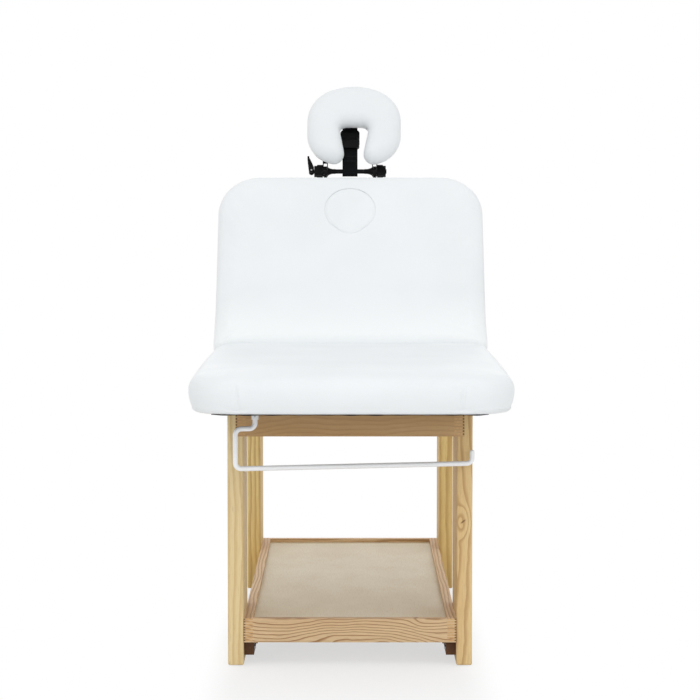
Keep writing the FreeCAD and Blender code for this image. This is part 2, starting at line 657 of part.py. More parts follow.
def horseshoe(inset, n):
    """Horseshoe outline round the face opening, drawn in by an inset."""
    upper_x = SHOE_HALF - SHOE_UPPER_R
    top_u = SHOE_TOP - SHOE_TOP_R
    swing = math.acos(upper_x / (SHOE_TOP_R - SHOE_UPPER_R))
    upper_u = top_u + (SHOE_TOP_R - SHOE_UPPER_R) * math.sin(swing)
    lower_x = SHOE_HALF - SHOE_LOWER_R
    tip_x = SHOE_GAP / 2 + SHOE_TIP_R
    tip_u = SHOE_LOWER_U - math.sqrt((SHOE_LOWER_R - SHOE_TIP_R) ** 2 - (tip_x - lower_x) ** 2)
    tip_angle = math.atan2(tip_u - SHOE_LOWER_U, tip_x - lower_x)
    round_x = SHOE_HOLE_HALF - SHOE_HOLE_ROUND
    round_u = SHOE_HOLE_TOP - SHOE_HOLE_ROUND
    gap_x, gap_u = tip_x - round_x, tip_u - round_u
    lean = math.acos((SHOE_HOLE_ROUND + SHOE_TIP_R) / math.hypot(gap_x, gap_u))
    side_angle = math.atan2(gap_u, gap_x) + lean
    top_r, upper_r, lower_r = SHOE_TOP_R - inset, SHOE_UPPER_R - inset, SHOE_LOWER_R - inset
    tip_r, hole_r = SHOE_TIP_R - inset, SHOE_HOLE_ROUND + inset

    def half(side):
        """Edges of one side from the outline's top round to the opening's top line."""
        def bend(centre_x, centre_u, radius, first, last):
            ends = []
            for angle in (first, (first + last) / 2, last):
                x = side * (centre_x + radius * math.cos(angle))
                ends.append(back(x, centre_u + radius * math.sin(angle), n))
            return ends

        top = bend(0, top_u, top_r, math.pi / 2, swing)
        upper = bend(upper_x, upper_u, upper_r, swing, 0)
        lower = bend(lower_x, SHOE_LOWER_U, lower_r, 0, tip_angle)
        tip = bend(tip_x, tip_u, tip_r, tip_angle, side_angle - math.pi)
        hole = bend(round_x, round_u, hole_r, side_angle, math.pi / 2)
        return [arc(*top), arc(*upper), line(upper[2], lower[0]), arc(*lower), arc(*tip),
                line(tip[2], hole[0]), arc(*hole)]

    across_u = round_u + hole_r
    across = line(back(-round_x, across_u, n), back(round_x, across_u, n))
    return Part.Wire(Part.__sortEdges__(half(1) + [across] + half(-1)))


def cradle_platform():
    """Flat horseshoe plate under the cushion."""
    return Part.Face(horseshoe(PLATFORM_INSET, PLATFORM_N)).extrude(Vector(0, 0, PLATFORM_THICK))


def cradle_cushion():
    """Horseshoe cushion with a crown and drawn-in sides."""
    sections = [horseshoe(inset, CUSHION_N + height) for height, inset in CUSHION_PROFILE]
    return Part.makeLoft(sections, True, False)


def strap_line(u):
    """Height n of the strap's lower face at u: rising from the crossbar to the platform."""
    start_u, start_n = BAR_U + 2, BAR_N + 6.9
    end_u, end_n = SHOE_HOLE_TOP + 5, PLATFORM_N - STRAP_THICK
    share = min(1, (u - start_u) / (end_u - start_u))
    return start_n + share * (end_n - start_n)


def strap_run(*us):
    """Flat run of webbing through the given places u."""
    half = STRAP_WIDE / 2
    lower = [back(-half, u, strap_line(u)) for u in us]
    upper = [point + Vector(0, 0, STRAP_THICK) for point in reversed(lower)]
    return polygon_prism(lower + upper, (STRAP_WIDE, 0, 0))


def strap():
    """Two lengths of webbing: a loop round the crossbar up to the buckle, and one on to the platform."""
    half = STRAP_WIDE / 2
    loop = tube(back(-half, BAR_U, BAR_N), (1, 0, 0), BAR_R + STRAP_THICK + 0.2, BAR_R + 0.2, STRAP_WIDE)
    lower = strap_run(BAR_U + 2, BUCKLE_U0).fuse(loop)
    knee_u = SHOE_HOLE_TOP + 5
    upper = strap_run(BUCKLE_U1, knee_u, knee_u + 50)
    return [lower, upper]


def buckle_half(points, low):
    """Flat moulding with the given right-hand outline and its mirror image, square to the strap."""
    outline = points + [(-x, u) for x, u in reversed(points)]
    return polygon_prism([back(x, u, low) for x, u in outline], (0, 0, BUCKLE_THICK))


def buckle():
    """Side-release buckle: the socket half with open sides, and the half with two prongs."""
    middle_n = strap_line((BUCKLE_U0 + BUCKLE_U1) / 2) + STRAP_THICK / 2
    low, high = middle_n - BUCKLE_THICK / 2, middle_n + BUCKLE_THICK / 2
    u0, u1 = BUCKLE_U0, BUCKLE_U1
    socket = buckle_half([(20.5, u0), (26.5, u0 + 5), (27.5, u0 + 8), (24.5, u0 + 9), (24.5, u0 + 15.5),
                          (28, u0 + 17), (28, u0 + 27), (25, u0 + 29)], low)
    socket = socket.cut(back_box(-25, 25, u0 + 8, u0 + 30, low + 3, high - 3))
    base = buckle_half([(23.5, u1 - 28.5), (24, u1 - 25), (28, u1 - 23.5), (28, u1 - 7), (24, u1)], low)
    prong = back_box(14, 22, u0 + 10, u1 - 28, low + 3.5, high - 3.5)
    tongue = back_box(-4, 4, u0 + 12, u1 - 28, low + 3.5, high - 3.5)
    return socket, base.fuse([prong, mirrored(prong), tongue])


def build():
    """All pieces by node name; a list is a group of separate solids."""
    parts = {}
    for name, side, y in leg_places():
        parts[name] = leg(side, y)
    frame = comb_box(RAIL_OUT, RAIL_THICK, RAIL_LOW, RAIL_TALL, RAIL_FINGERS)
    frame_holes = side_rods(BOLT_Z, BOLT_R + HOLE_ROOM, RAIL_IN, RAIL_OUT)
    screw_holes = [rod((side * RAIL_IN, HINGE_Y - dy, HINGE_Z), (side, 0, 0), SCREW_R + HOLE_ROOM, 16)
                   for side in (-1, 1) for dy in (70, 125)]
    parts["frame_front_rail"], parts["frame_rear_rail"] = frame[0], frame[1]
    parts["frame_side_rail_left"] = frame[2].cut(frame_holes + screw_holes)
    parts["frame_side_rail_right"] = frame[3].cut(frame_holes + screw_holes)

    cross_low = FRAME_TOP - CROSS_TALL
    seat_screws = []
    for name, y in zip(("frame_cross_rail_front", "frame_cross_rail_rear"), CROSS_YS):
        rail = box(-RAIL_IN, RAIL_IN, y, y + RAIL_THICK, cross_low, FRAME_TOP)
        places = [(x, y + RAIL_THICK / 2, cross_low - SCREW_HEAD_TALL) for x in (-150, 150)]
        seat_screws += [wood_screw(place, (0, 0, 1), 72) for place in places]
        parts[name] = rail.cut([rod(place, (0, 0, 1), SCREW_R + HOLE_ROOM, 80) for place in places])

    panel = shelf_panel()
    shelf_names = ("shelf_front_rail", "shelf_rear_rail", "shelf_side_rail_left", "shelf_side_rail_right")
    shelf_holes = side_rods(SHELF_LOW + SHELF_TALL / 2, SCREW_R + HOLE_ROOM, SHELF_OUT - 15, SHELF_OUT)
    shelf_rails = comb_box(SHELF_OUT, SHELF_RAIL_THICK, SHELF_LOW, SHELF_TALL, SHELF_FINGERS)
    for name, rail in zip(shelf_names, shelf_rails):
        parts[name] = rail.cut([panel] + shelf_holes)
    parts["shelf_panel"] = panel
    parts["shelf_bearer_right"] = bearer()
    parts["shelf_bearer_left"] = mirrored(bearer())
    parts["leg_bolts"], parts["leg_nuts"], parts["shelf_screws"] = leg_fasteners()
    parts["foot_glides"] = foot_glides()

    board, parts["seat_pad"], parts["seat_dust_cover"] = seat()
    parts["seat_board"] = board.cut([rod((s.BoundBox.Center.x, s.BoundBox.Center.y, cross_low), (0, 0, 1),
                                         SCREW_R + HOLE_ROOM, 72) for s in seat_screws])
    parts["seat_screws"] = seat_screws
    parts["roll_holder_socket"], parts["roll_holder_set_screw"] = roll_socket()
    parts["roll_holder_rod"] = roll_rod()
    bumper_x = (RAIL_IN + RAIL_OUT) / 2
    parts["backrest_bumpers"] = [rod((x, y, FRAME_TOP), (0, 0, 1), 9, 0.7)
                                 for x in (-bumper_x, bumper_x) for y in (1420, 1560)]

    base, pin, arm, pawl, batten, base_screws, arm_screws = hinge_set()
    parts["hinge_base_right"], parts["hinge_base_left"] = base, mirrored(base)
    parts["hinge_pins"] = [pin, mirrored(pin)]
    parts["hinge_base_screws"] = base_screws + [mirrored(screw) for screw in base_screws]

    flat = {"backrest_batten_right": batten, "backrest_batten_left": mirrored(batten),
            "hinge_arm_right": arm, "hinge_arm_left": mirrored(arm),
            "hinge_pawls": [pawl, mirrored(pawl)],
            "hinge_arm_screws": arm_screws + [mirrored(screw) for screw in arm_screws]}
    flat["backrest_board"], flat["backrest_pad"], flat["plug_board"], flat["plug_pad"] = backrest()
    for name, side in (("left", -1), ("right", 1)):
        flat[f"cradle_socket_{name}"] = cradle_socket(side)
        flat[f"cradle_rod_{name}"] = cradle_rod(side)
        flat[f"cradle_bracket_{name}"] = cradle_bracket(side)
    flat["cradle_crossbar"] = cradle_crossbar()
    flat["cradle_cam_block"] = clamp_block(-1)
    flat["cradle_end_block"] = clamp_block(1)
    flat["cradle_cone_washers"] = cone_washers()
    flat["cradle_cam_lever"], flat["cradle_cam_pin"] = cam_lever()
    flat["cradle_platform"] = cradle_platform()
    flat["cradle_cushion"] = cradle_cushion()
    flat["cradle_strap"] = strap()
    flat["cradle_buckle_socket"], flat["cradle_buckle_prongs"] = buckle()
    for name, shape in flat.items():
        parts[name] = [raised(s) for s in shape] if isinstance(shape, list) else raised(shape)
    return {name: Part.makeCompound(shape) if isinstance(shape, list) else shape
            for name, shape in parts.items()}


def main():
    """Builds the pieces, centres them over the origin and writes one file for each."""
    parts = build()
    whole = Part.makeCompound(list(parts.values())).optimalBoundingBox()
    shift = round((whole.YMin + whole.YMax) / 2, 1)
    os.makedirs("parts", exist_ok=True)
    for name, shape in sorted(parts.items()):
        placed = shape.copy()
        placed.translate(Vector(0, -shift, 0))
        placed.exportStep(f"parts/{name}.step")
        print(name, len(placed.Solids), placed.isValid(), round(placed.Volume / 1000, 1), "cm3")
    print("pieces", len(parts), "moved back by", shift)
    sides = (whole.XMin, whole.XMax, whole.YMin, whole.YMax, whole.ZMin, whole.ZMax)
    print("box", [round(v, 2) for v in sides])


main()
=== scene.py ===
"""Looks of the massage table: upholstery, timber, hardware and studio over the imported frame."""
import json
import logging
import math
from dataclasses import dataclass
from enum import Enum
from typing import Any, Callable, Optional, Sequence

import bmesh
import bpy
import numpy as np
from mathutils import Matrix, Vector


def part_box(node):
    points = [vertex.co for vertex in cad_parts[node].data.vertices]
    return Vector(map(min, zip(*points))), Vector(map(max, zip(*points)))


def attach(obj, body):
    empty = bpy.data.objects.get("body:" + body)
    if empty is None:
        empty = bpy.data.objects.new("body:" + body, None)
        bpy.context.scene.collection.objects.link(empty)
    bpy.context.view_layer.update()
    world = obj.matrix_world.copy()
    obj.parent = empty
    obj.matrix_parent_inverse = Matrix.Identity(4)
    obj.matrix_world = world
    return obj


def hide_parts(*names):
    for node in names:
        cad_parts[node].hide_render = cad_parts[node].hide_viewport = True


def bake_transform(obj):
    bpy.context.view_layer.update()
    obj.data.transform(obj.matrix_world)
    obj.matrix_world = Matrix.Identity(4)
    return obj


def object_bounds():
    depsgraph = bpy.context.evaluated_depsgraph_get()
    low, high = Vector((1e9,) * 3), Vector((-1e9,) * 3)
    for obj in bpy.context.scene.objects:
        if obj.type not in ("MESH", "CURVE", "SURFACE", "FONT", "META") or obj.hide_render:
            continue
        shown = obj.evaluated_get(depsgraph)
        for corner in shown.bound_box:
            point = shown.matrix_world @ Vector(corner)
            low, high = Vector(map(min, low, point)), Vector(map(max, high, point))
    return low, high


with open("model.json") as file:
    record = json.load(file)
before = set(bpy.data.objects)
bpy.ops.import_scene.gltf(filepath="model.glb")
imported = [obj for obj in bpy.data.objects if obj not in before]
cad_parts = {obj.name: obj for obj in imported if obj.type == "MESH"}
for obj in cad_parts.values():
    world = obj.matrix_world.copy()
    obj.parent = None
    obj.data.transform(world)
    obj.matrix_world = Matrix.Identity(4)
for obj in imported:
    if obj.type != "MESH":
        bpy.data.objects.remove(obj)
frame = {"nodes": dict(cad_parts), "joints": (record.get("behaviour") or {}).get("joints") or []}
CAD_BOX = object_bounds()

LOG = logging.getLogger("massage_table")
MM = 0.001
CLOTH_PRESSURE = 4.0
CLOTH_FRAMES = 20
# Height above a board, and distance from the fold, within which a cover is held while it is blown up
HEM_HELD = 0.010
FOLD_HELD = 0.008
# Distance from the fold of the two points worked out beside each pad's fold
FOLD_REACH = 0.070
SEED_STRIDE = 0.731
KNOT_LEAN = math.radians(38.0)
RIBBON_STEPS = 5
FLAT = (0.0, 0.0, 0.0)
WHITE = (1.0, 1.0, 1.0, 1.0)


def tone(red: int, green: int, blue: int) -> tuple[float, float, float, float]:
    """Turn a colour written in screen values into the linear colour that shaders take.

    Args:
        red, green, blue: Screen values from 0 to 255.

    Returns:
        The linear colour with full opacity.
    """
    linear = []
    for value in (red, green, blue):
        share = value / 255.0
        linear.append(share / 12.92 if share <= 0.04045 else ((share + 0.055) / 1.055) ** 2.4)
    return (linear[0], linear[1], linear[2], 1.0)


class Signal:
    """A number socket of a shader that takes part in plain arithmetic."""

    def __init__(self, shader: "Shader", socket: bpy.types.NodeSocket) -> None:
        """Keep the socket and the shader it belongs to."""
        self.shader = shader
        self.socket = socket

    def apply(self, operation: str, *operands: Any) -> "Signal":
        """Add one Math node.

        Args:
            operation: Blender's name of the sum.
            operands: Its numbers or signals, in order.

        Returns:
            The node's result.
        """
        node = self.shader.node("ShaderNodeMath", {"operation": operation}, dict(enumerate(operands)))
        return Signal(self.shader, node.outputs[0])

    def __add__(self, other: Any) -> "Signal":
        """Sum."""
        return self.apply("ADD", self, other)

    def __radd__(self, other: Any) -> "Signal":
        """Sum with a plain number first."""
        return self.apply("ADD", other, self)

    def __sub__(self, other: Any) -> "Signal":
        """Difference."""
        return self.apply("SUBTRACT", self, other)

    def __rsub__(self, other: Any) -> "Signal":
        """Difference with a plain number first."""
        return self.apply("SUBTRACT", other, self)

    def __mul__(self, other: Any) -> "Signal":
        """Product."""
        return self.apply("MULTIPLY", self, other)

    def __rmul__(self, other: Any) -> "Signal":
        """Product with a plain number first."""
        return self.apply("MULTIPLY", other, self)

    def __truediv__(self, other: Any) -> "Signal":
        """Quotient."""
        return self.apply("DIVIDE", self, other)

    def __rtruediv__(self, other: Any) -> "Signal":
        """Quotient with a plain number first."""
        return self.apply("DIVIDE", other, self)

    def __abs__(self) -> "Signal":
        """Size without its sign."""
        return self.apply("ABSOLUTE", self)

    def fraction(self) -> "Signal":
        """Part after the decimal point."""
        return self.apply("FRACT", self)

    def sine(self) -> "Signal":
        """Sine of an angle in radians."""
        return self.apply("SINE", self)

    def least(self, other: Any) -> "Signal":
        """Smaller of two."""
        return self.apply("MINIMUM", self, other)

    def most(self, other: Any) -> "Signal":
        """Larger of two."""
        return self.apply("MAXIMUM", self, other)

    def step(self, low: float, high: float) -> "Signal":
        """Rise smoothly from 0 to 1 between two levels, or fall where low is above high."""
        if low > high:
            return 1.0 - self.step(high, low)
        node = self.shader.node("ShaderNodeMapRange", {"interpolation_type": "SMOOTHSTEP"},
                                {"Value": self, "From Min": low, "From Max": high})
        return Signal(self.shader, node.outputs[0])


class Shader:
    """Nodes of a material or of the sky, with one method that adds a node."""

    def __init__(self, name: str, sky: bool = False) -> None:
        """Make an empty material, or an empty sky, of that name."""
        self.owner = bpy.data.worlds.new(name) if sky else bpy.data.materials.new(name)
        self.owner.use_nodes = True
        self.tree = self.owner.node_tree
        self.tree.nodes.clear()

    def node(self, kind: str, settings: dict[str, Any], sockets: dict[Any, Any]) -> bpy.types.Node:
        """Add a node.

        Args:
            kind: Blender's type name.
            settings: Properties, which are set first.
            sockets: Input names or numbers with their values or links.

        Returns:
            The new node.
        """
        made = self.tree.nodes.new(kind)
        for name, value in settings.items():
            setattr(made, name, value)
        for key, value in sockets.items():
            source = value.socket if isinstance(value, Signal) else value
            if isinstance(source, bpy.types.NodeSocket):
                self.tree.links.new(source, made.inputs[key])
            else:
                made.inputs[key].default_value = source
        return made

    def place(self, turn: Sequence[float] = FLAT, shift: Sequence[float] = FLAT) -> bpy.types.NodeSocket:
        """Object coordinates, turned and then shifted.

        Args:
            turn: Euler angles in radians.
            shift: Offset in metres.

        Returns:
            The vector socket.
        """
        source = self.node("ShaderNodeTexCoord", {}, {}).outputs["Object"]
        made = self.node("ShaderNodeMapping", {}, {"Vector": source, "Rotation": turn, "Location": shift})
        return made.outputs[0]

    def stretched(self, vector: bpy.types.NodeSocket, factors: Sequence[float]) -> bpy.types.NodeSocket:
        """Multiply a vector axis by axis."""
        made = self.node("ShaderNodeVectorMath", {"operation": "MULTIPLY"}, {0: vector, 1: factors})
        return made.outputs[0]

    def axes(self, vector: bpy.types.NodeSocket) -> tuple[Signal, Signal, Signal]:
        """Split a vector into its three numbers."""
        split = self.node("ShaderNodeSeparateXYZ", {}, {0: vector}).outputs
        return Signal(self, split[0]), Signal(self, split[1]), Signal(self, split[2])

    def length(self, vector: bpy.types.NodeSocket) -> Signal:
        """Length of a vector."""
        made = self.node("ShaderNodeVectorMath", {"operation": "LENGTH"}, {0: vector})
        return Signal(self, made.outputs["Value"])

    def dot(self, vector: bpy.types.NodeSocket, direction: Sequence[float]) -> Signal:
        """Measure of a vector along a direction."""
        made = self.node("ShaderNodeVectorMath", {"operation": "DOT_PRODUCT"}, {0: vector, 1: direction})
        return Signal(self, made.outputs["Value"])

    def noise(self, vector: bpy.types.NodeSocket, scale: float, detail: float = 2.0,
              rough: float = 0.5) -> Signal:
        """Smooth noise around 0.5."""
        made = self.node("ShaderNodeTexNoise", {}, {"Vector": vector, "Scale": scale, "Detail": detail,
                                                    "Roughness": rough})
        return Signal(self, made.outputs["Fac"])

    def cells(self, vector: bpy.types.NodeSocket, scale: float, feature: str = "F1") -> Signal:
        """Distance in a field of cells."""
        made = self.node("ShaderNodeTexVoronoi", {"feature": feature}, {"Vector": vector, "Scale": scale})
        return Signal(self, made.outputs["Distance"])

    def mix(self, share: Any, first: Any, second: Any, blend: str = "MIX") -> bpy.types.NodeSocket:
        """Mix two colours by a share."""
        made = self.node("ShaderNodeMix", {"data_type": "RGBA", "blend_type": blend},
                         {0: share, 6: first, 7: second})
        return made.outputs[2]

    def bump(self, height: Signal, distance: float, strength: float = 1.0) -> bpy.types.NodeSocket:
        """Turn heights from 0 to 1 into a bent normal."""
        made = self.node("ShaderNodeBump", {}, {"Height": height, "Distance": distance, "Strength": strength})
        return made.outputs[0]

    def seen(self) -> Signal:
        """1 for rays from the eye, from gloss and through glass, 0 for light on its way round."""
        path = self.node("ShaderNodeLightPath", {}, {})
        eye, gloss, glass = (Signal(self, path.outputs[name])
                             for name in ("Is Camera Ray", "Is Glossy Ray", "Is Transmission Ray"))
        return eye.most(gloss).most(glass)

    def surface(self, sockets: dict[str, Any]) -> bpy.types.Material:
        """Finish the material with one principled shader.

        Args:
            sockets: The shader's inputs.

        Returns:
            The finished material.
        """
        shade = self.node("ShaderNodeBsdfPrincipled", {}, sockets)
        self.node("ShaderNodeOutputMaterial", {}, {"Surface": shade.outputs[0]})
        return self.owner


class Grain(Enum):
    """Turn that lays a timber's length along the X axis of its pattern."""

    ACROSS = (0.0, 0.0, 0.0)
    LENGTHWISE = (0.0, 0.0, -math.pi / 2)
    UPRIGHT = (0.0, math.pi / 2, 0.0)
    RECLINED = (-math.radians(58.0), 0.0, -math.pi / 2)


@dataclass(frozen=True)
class Timber:
    """Lacquered solid wood with rings about a pith line beside the piece."""

    grain: Grain
    seed: int
    pith: tuple[float, float] = (0.052, 0.048)
    ring: float = 0.0085
    pale: tuple[int, int, int] = (230, 204, 166)
    warm: tuple[int, int, int] = (222, 191, 150)
    late: tuple[int, int, int] = (170, 126, 84)
    line: float = 0.75
    wave: float = 0.004
    sway: float = 0.030
    drift: float = 1.9
    early: float = 0.30
    end_band: Optional[tuple[float, float]] = None
    knot: Optional[tuple[float, float, float]] = None
    pore: tuple[int, int, int] = (122, 84, 48)
    knot_heart: tuple[int, int, int] = (104, 68, 40)
    end_cast: tuple[int, int, int] = (236, 220, 196)
    # Dark mark at the outer ends of comb fingers: open end pores with painted shade of the joint's gap
    pore_and_gap_shade: tuple[int, int, int] = (74, 48, 28)
    ripple_scale: tuple[float, float, float] = (12.0, 22.0, 22.0)
    fade_scale: tuple[float, float, float] = (2.2, 11.0, 11.0)
    fibre_scale: tuple[float, float, float] = (16.0, 620.0, 620.0)
    pore_scale: tuple[float, float, float] = (42.0, 1500.0, 1500.0)
    cast_scale: tuple[float, float, float] = (1.3, 12.0, 12.0)
    band_edge: float = 0.0015

    def knot_shift(self) -> Vector:
        """Shift that brings the knot's middle to the origin of a pattern turned about Y."""
        return Matrix.Rotation(KNOT_LEAN, 3, "Y") @ -Vector(self.knot)

    def make(self, name: str, centre: Vector) -> bpy.types.Material:
        """Build the material of one piece.

        Args:
            name: The material's name.
            centre: Middle of the piece, from which the pith line is set off.

        Returns:
            The material.
        """
        art = Shader(name)
        turn = Matrix.Rotation(self.grain.value[2], 3, "Z") @ Matrix.Rotation(self.grain.value[1], 3, "Y")
        turn = turn @ Matrix.Rotation(self.grain.value[0], 3, "X")
        middle = turn @ centre
        shift = (self.seed * SEED_STRIDE - middle.x, self.pith[0] - middle.y, self.pith[1] - middle.z)
        spot = art.place(self.grain.value, shift)
        sway = art.noise(art.stretched(spot, (self.drift, 7.0, 7.0)), 1.0, 2.0) - 0.5
        ripple = art.noise(art.stretched(spot, self.ripple_scale), 1.0, 2.0) - 0.5
        radius = art.length(art.stretched(spot, (0.0, 1.0, 1.0))) + sway * self.sway + ripple * self.wave
        if self.knot:
            from_knot = art.place(shift=[-value for value in self.knot])
            away = art.length(art.stretched(from_knot, (1.0, 0.6, 0.42)))
            radius = radius + away.step(0.024, 0.004) * 0.011
        along = art.axes(art.node("ShaderNodeMapping", {"vector_type": "NORMAL"}, {
            "Vector": art.node("ShaderNodeTexCoord", {}, {}).outputs["Normal"],
            "Rotation": self.grain.value}).outputs[0])[0]
        end = abs(along).step(0.80, 0.97)
        year = (radius / self.ring).fraction()
        late = year.step(self.early, 0.88) * year.step(1.0, 0.93) * (1.0 - 0.8 * end)
        late = late * (0.55 + 0.9 * art.noise(art.stretched(spot, self.fade_scale), 1.0, 1.0)).least(1.0)
        fibre = art.noise(art.stretched(spot, self.fibre_scale), 1.0, 2.0, 0.6)
        pores = art.noise(art.stretched(spot, self.pore_scale), 1.0, 1.0).step(0.60, 0.72)
        cast = art.noise(art.stretched(spot, self.cast_scale), 1.0, 1.0)
        colour = art.mix(cast.step(0.3, 0.7), tone(*self.pale), tone(*self.warm))
        colour = art.mix(late * self.line, colour, tone(*self.late))
        colour = art.mix((fibre - 0.42).most(0.0) * 0.8, colour, tone(*self.late))
        colour = art.mix(pores * 0.22, colour, tone(*self.pore))
        if self.knot:
            heart = art.stretched(art.place((0.0, KNOT_LEAN, 0.0), self.knot_shift()), (1.0, 0.3, 3.4))
            colour = art.mix(art.length(heart).step(0.010, 0.004) * 0.75, colour, tone(*self.knot_heart))
        colour = art.mix(end, colour, tone(*self.end_cast), "MULTIPLY")
        # Open end pores with painted shade: end grain in the band near a comb joint's outer face is darkened
        # as its gap would be shaded
        if self.end_band:
            side = abs(art.axes(art.place())[0])
            inner, outer = self.end_band
            rise = side.step(inner, inner + self.band_edge)
            gap = end * rise * side.step(outer + self.band_edge, outer)
            colour = art.mix(gap * 0.8, colour, tone(*self.pore_and_gap_shade))
        gloss = 0.52 + 0.10 * fibre - 0.05 * late
        height = fibre * 0.5 + late * 0.35 - pores * 0.4
        return art.surface({"Base Color": colour, "Roughness": gloss, "Specular IOR Level": 0.22,
                            "Normal": art.bump(height, 0.00022, 0.55)})


@dataclass(frozen=True)
class Veneer:
    """Pale lacquered plywood with bands on its edges."""

    face: tuple[int, int, int] = (223, 216, 194)
    shade: tuple[int, int, int] = (214, 204, 178)
    edge: tuple[int, int, int] = (170, 128, 84)
    ply: float = 0.0018
    grain: Grain = Grain.LENGTHWISE
    up: tuple[float, float, float] = (0.0, 0.0, 1.0)
    figure_scale: tuple[float, float, float] = (2.2, 16.0, 16.0)
    fibre_scale: tuple[float, float, float] = (24.0, 520.0, 520.0)
    cloud_scale: tuple[float, float, float] = (7.0, 12.0, 12.0)
    contours: float = 9.0

    def make(self, name: str) -> bpy.types.Material:
        """Build the plywood material of that name."""
        art = Shader(name)
        spot = art.place(self.grain.value)
        figure = art.noise(art.stretched(spot, self.figure_scale), 1.0, 3.0)
        waves = (figure * self.contours).fraction() - 0.5
        fibre = art.noise(art.stretched(spot, self.fibre_scale), 1.0, 2.0, 0.6)
        cloud = art.noise(art.stretched(spot, self.cloud_scale), 1.0, 2.0)
        colour = art.mix(cloud.step(0.30, 0.72) * 0.7, tone(*self.face), tone(*self.shade))
        colour = art.mix(abs(waves) * 0.35, colour, tone(*self.shade))
        colour = art.mix((fibre - 0.45).most(0.0) * 0.7, colour, tone(*self.edge))
        source = art.node("ShaderNodeTexCoord", {}, {}).outputs
        facing = abs(art.dot(source["Normal"], self.up))
        level = art.dot(source["Object"], self.up)
        bands = (level / (2 * self.ply)).fraction().step(0.45, 0.55)
        layers = art.mix(bands, tone(*self.edge), tone(*self.shade))
        colour = art.mix(facing.step(0.7, 0.4), colour, layers)
        return art.surface({"Base Color": colour, "Roughness": 0.5 + 0.12 * fibre,
                            "Normal": art.bump(fibre, 0.0002, 0.5)})


@dataclass(frozen=True)
class Upholstery:
    """White coated cloth with a fine pebbled grain, painted shade in the grain's furrows and, where asked,
    painted light near the fold.
    """

    colour: tuple[int, int, int] = (238, 241, 243)
    cool: tuple[int, int, int] = (234, 238, 240)
    pebble: float = 0.0013
    # Painted light: paler cloth near the fold; reach above the fold where it has faded, reach within which it
    # is full, and its colour
    painted_light_reach: float = 0.0
    painted_light_full_reach: float = 0.06
    painted_light_colour: tuple[int, int, int] = (243, 246, 247)
    # Grey of the pebble grain's furrows: painted shade in the hollows
    furrow_shade: tuple[int, int, int] = (204, 207, 209)
    stretch_scale: tuple[float, float, float] = (14.0, 9.0, 9.0)

    def make(self, name: str) -> bpy.types.Material:
        """Build the coated cloth of that name."""
        art = Shader(name)
        spot = art.place()
        pebbles = art.cells(spot, 1.0 / self.pebble, "DISTANCE_TO_EDGE").step(0.0, 0.32)
        fine = art.noise(spot, 2600.0, 2.0)
        cloud = art.noise(spot, 5.5, 2.0)
        colour = art.mix(cloud.step(0.3, 0.7), tone(*self.colour), tone(*self.cool))
        # Painted shade: the furrows between the pebbles are darkened
        colour = art.mix((1.0 - pebbles) * 0.10, colour, tone(*self.furrow_shade))
        # Painted light: the cloth is painted paler towards the fold, standing in for light on the back's
        # lower part
        if self.painted_light_reach:
            above = art.dot(spot, tuple(RECLINE.along)) - RECLINE.hinge.dot(RECLINE.along)
            colour = art.mix(above.step(self.painted_light_reach, self.painted_light_full_reach), colour, tone(*self.painted_light_colour))
        gloss = 0.44 + 0.10 * fine + 0.06 * (1.0 - pebbles)
        stretch = art.noise(art.stretched(spot, self.stretch_scale), 1.0, 2.0)
        soft = art.bump(stretch, 0.0020, 0.12)
        normal = art.node("ShaderNodeBump", {}, {"Height": pebbles * 0.8 + fine * 0.2, "Distance": 0.00022,
                                                 "Strength": 0.55, "Normal": soft}).outputs[0]
        return art.surface({"Base Color": colour, "Roughness": gloss, "Normal": normal})


@dataclass(frozen=True)
class Coated:
    """Moulded plastic or painted metal: a colour with fine texture and a little wear."""

    colour: tuple[int, int, int]
    worn: tuple[int, int, int]
    rough: float = 0.4
    metal: float = 0.0
    texture: float = 900.0
    relief: float = 0.00012
    coat: float = 0.0
    shine: float = 0.5

    def make(self, name: str) -> bpy.types.Material:
        """Build the coated material of that name."""
        art = Shader(name)
        spot = art.place()
        fine = art.noise(spot, self.texture, 3.0, 0.6)
        cloud = art.noise(spot, 38.0, 3.0, 0.6)
        colour = art.mix(cloud.step(0.45, 0.8) * 0.6, tone(*self.colour), tone(*self.worn))
        gloss = self.rough + 0.14 * (fine - 0.5) + 0.10 * (cloud - 0.5)
        return art.surface({"Base Color": colour, "Roughness": gloss, "Metallic": self.metal,
                            "Coat Weight": self.coat, "Coat Roughness": 0.18,
                            "Specular IOR Level": self.shine, "Normal": art.bump(fine, self.relief, 0.6)})


ZINC = Coated((176, 178, 180), (150, 151, 152), 0.34, 1.0, 420.0, 0.00006)


@dataclass(frozen=True)
class Webbing:
    """Woven nylon tape that follows the piece's own UV map."""

    colour: tuple[int, int, int] = (9, 9, 10)
    high: tuple[int, int, int] = (27, 28, 30)
    pitch: float = 0.0022

    def make(self, name: str) -> bpy.types.Material:
        """Build the woven tape of that name; UV is in metres along and across."""
        art = Shader(name)
        chart = art.node("ShaderNodeTexCoord", {}, {}).outputs["UV"]
        along, across, _ = art.axes(chart)
        turn = 2 * math.pi / self.pitch
        weave = ((along * turn + across * turn).sine() * (along * turn - across * turn).sine()) * 0.5 + 0.5
        fuzz = art.noise(chart, 2400.0, 2.0)
        colour = art.mix(weave * 0.65 + fuzz * 0.2, tone(*self.colour), tone(*self.high))
        return art.surface({"Base Color": colour, "Roughness": 0.72 + 0.12 * fuzz, "Specular IOR Level": 0.1,
                            "Normal": art.bump(weave, 0.0006, 0.8)})


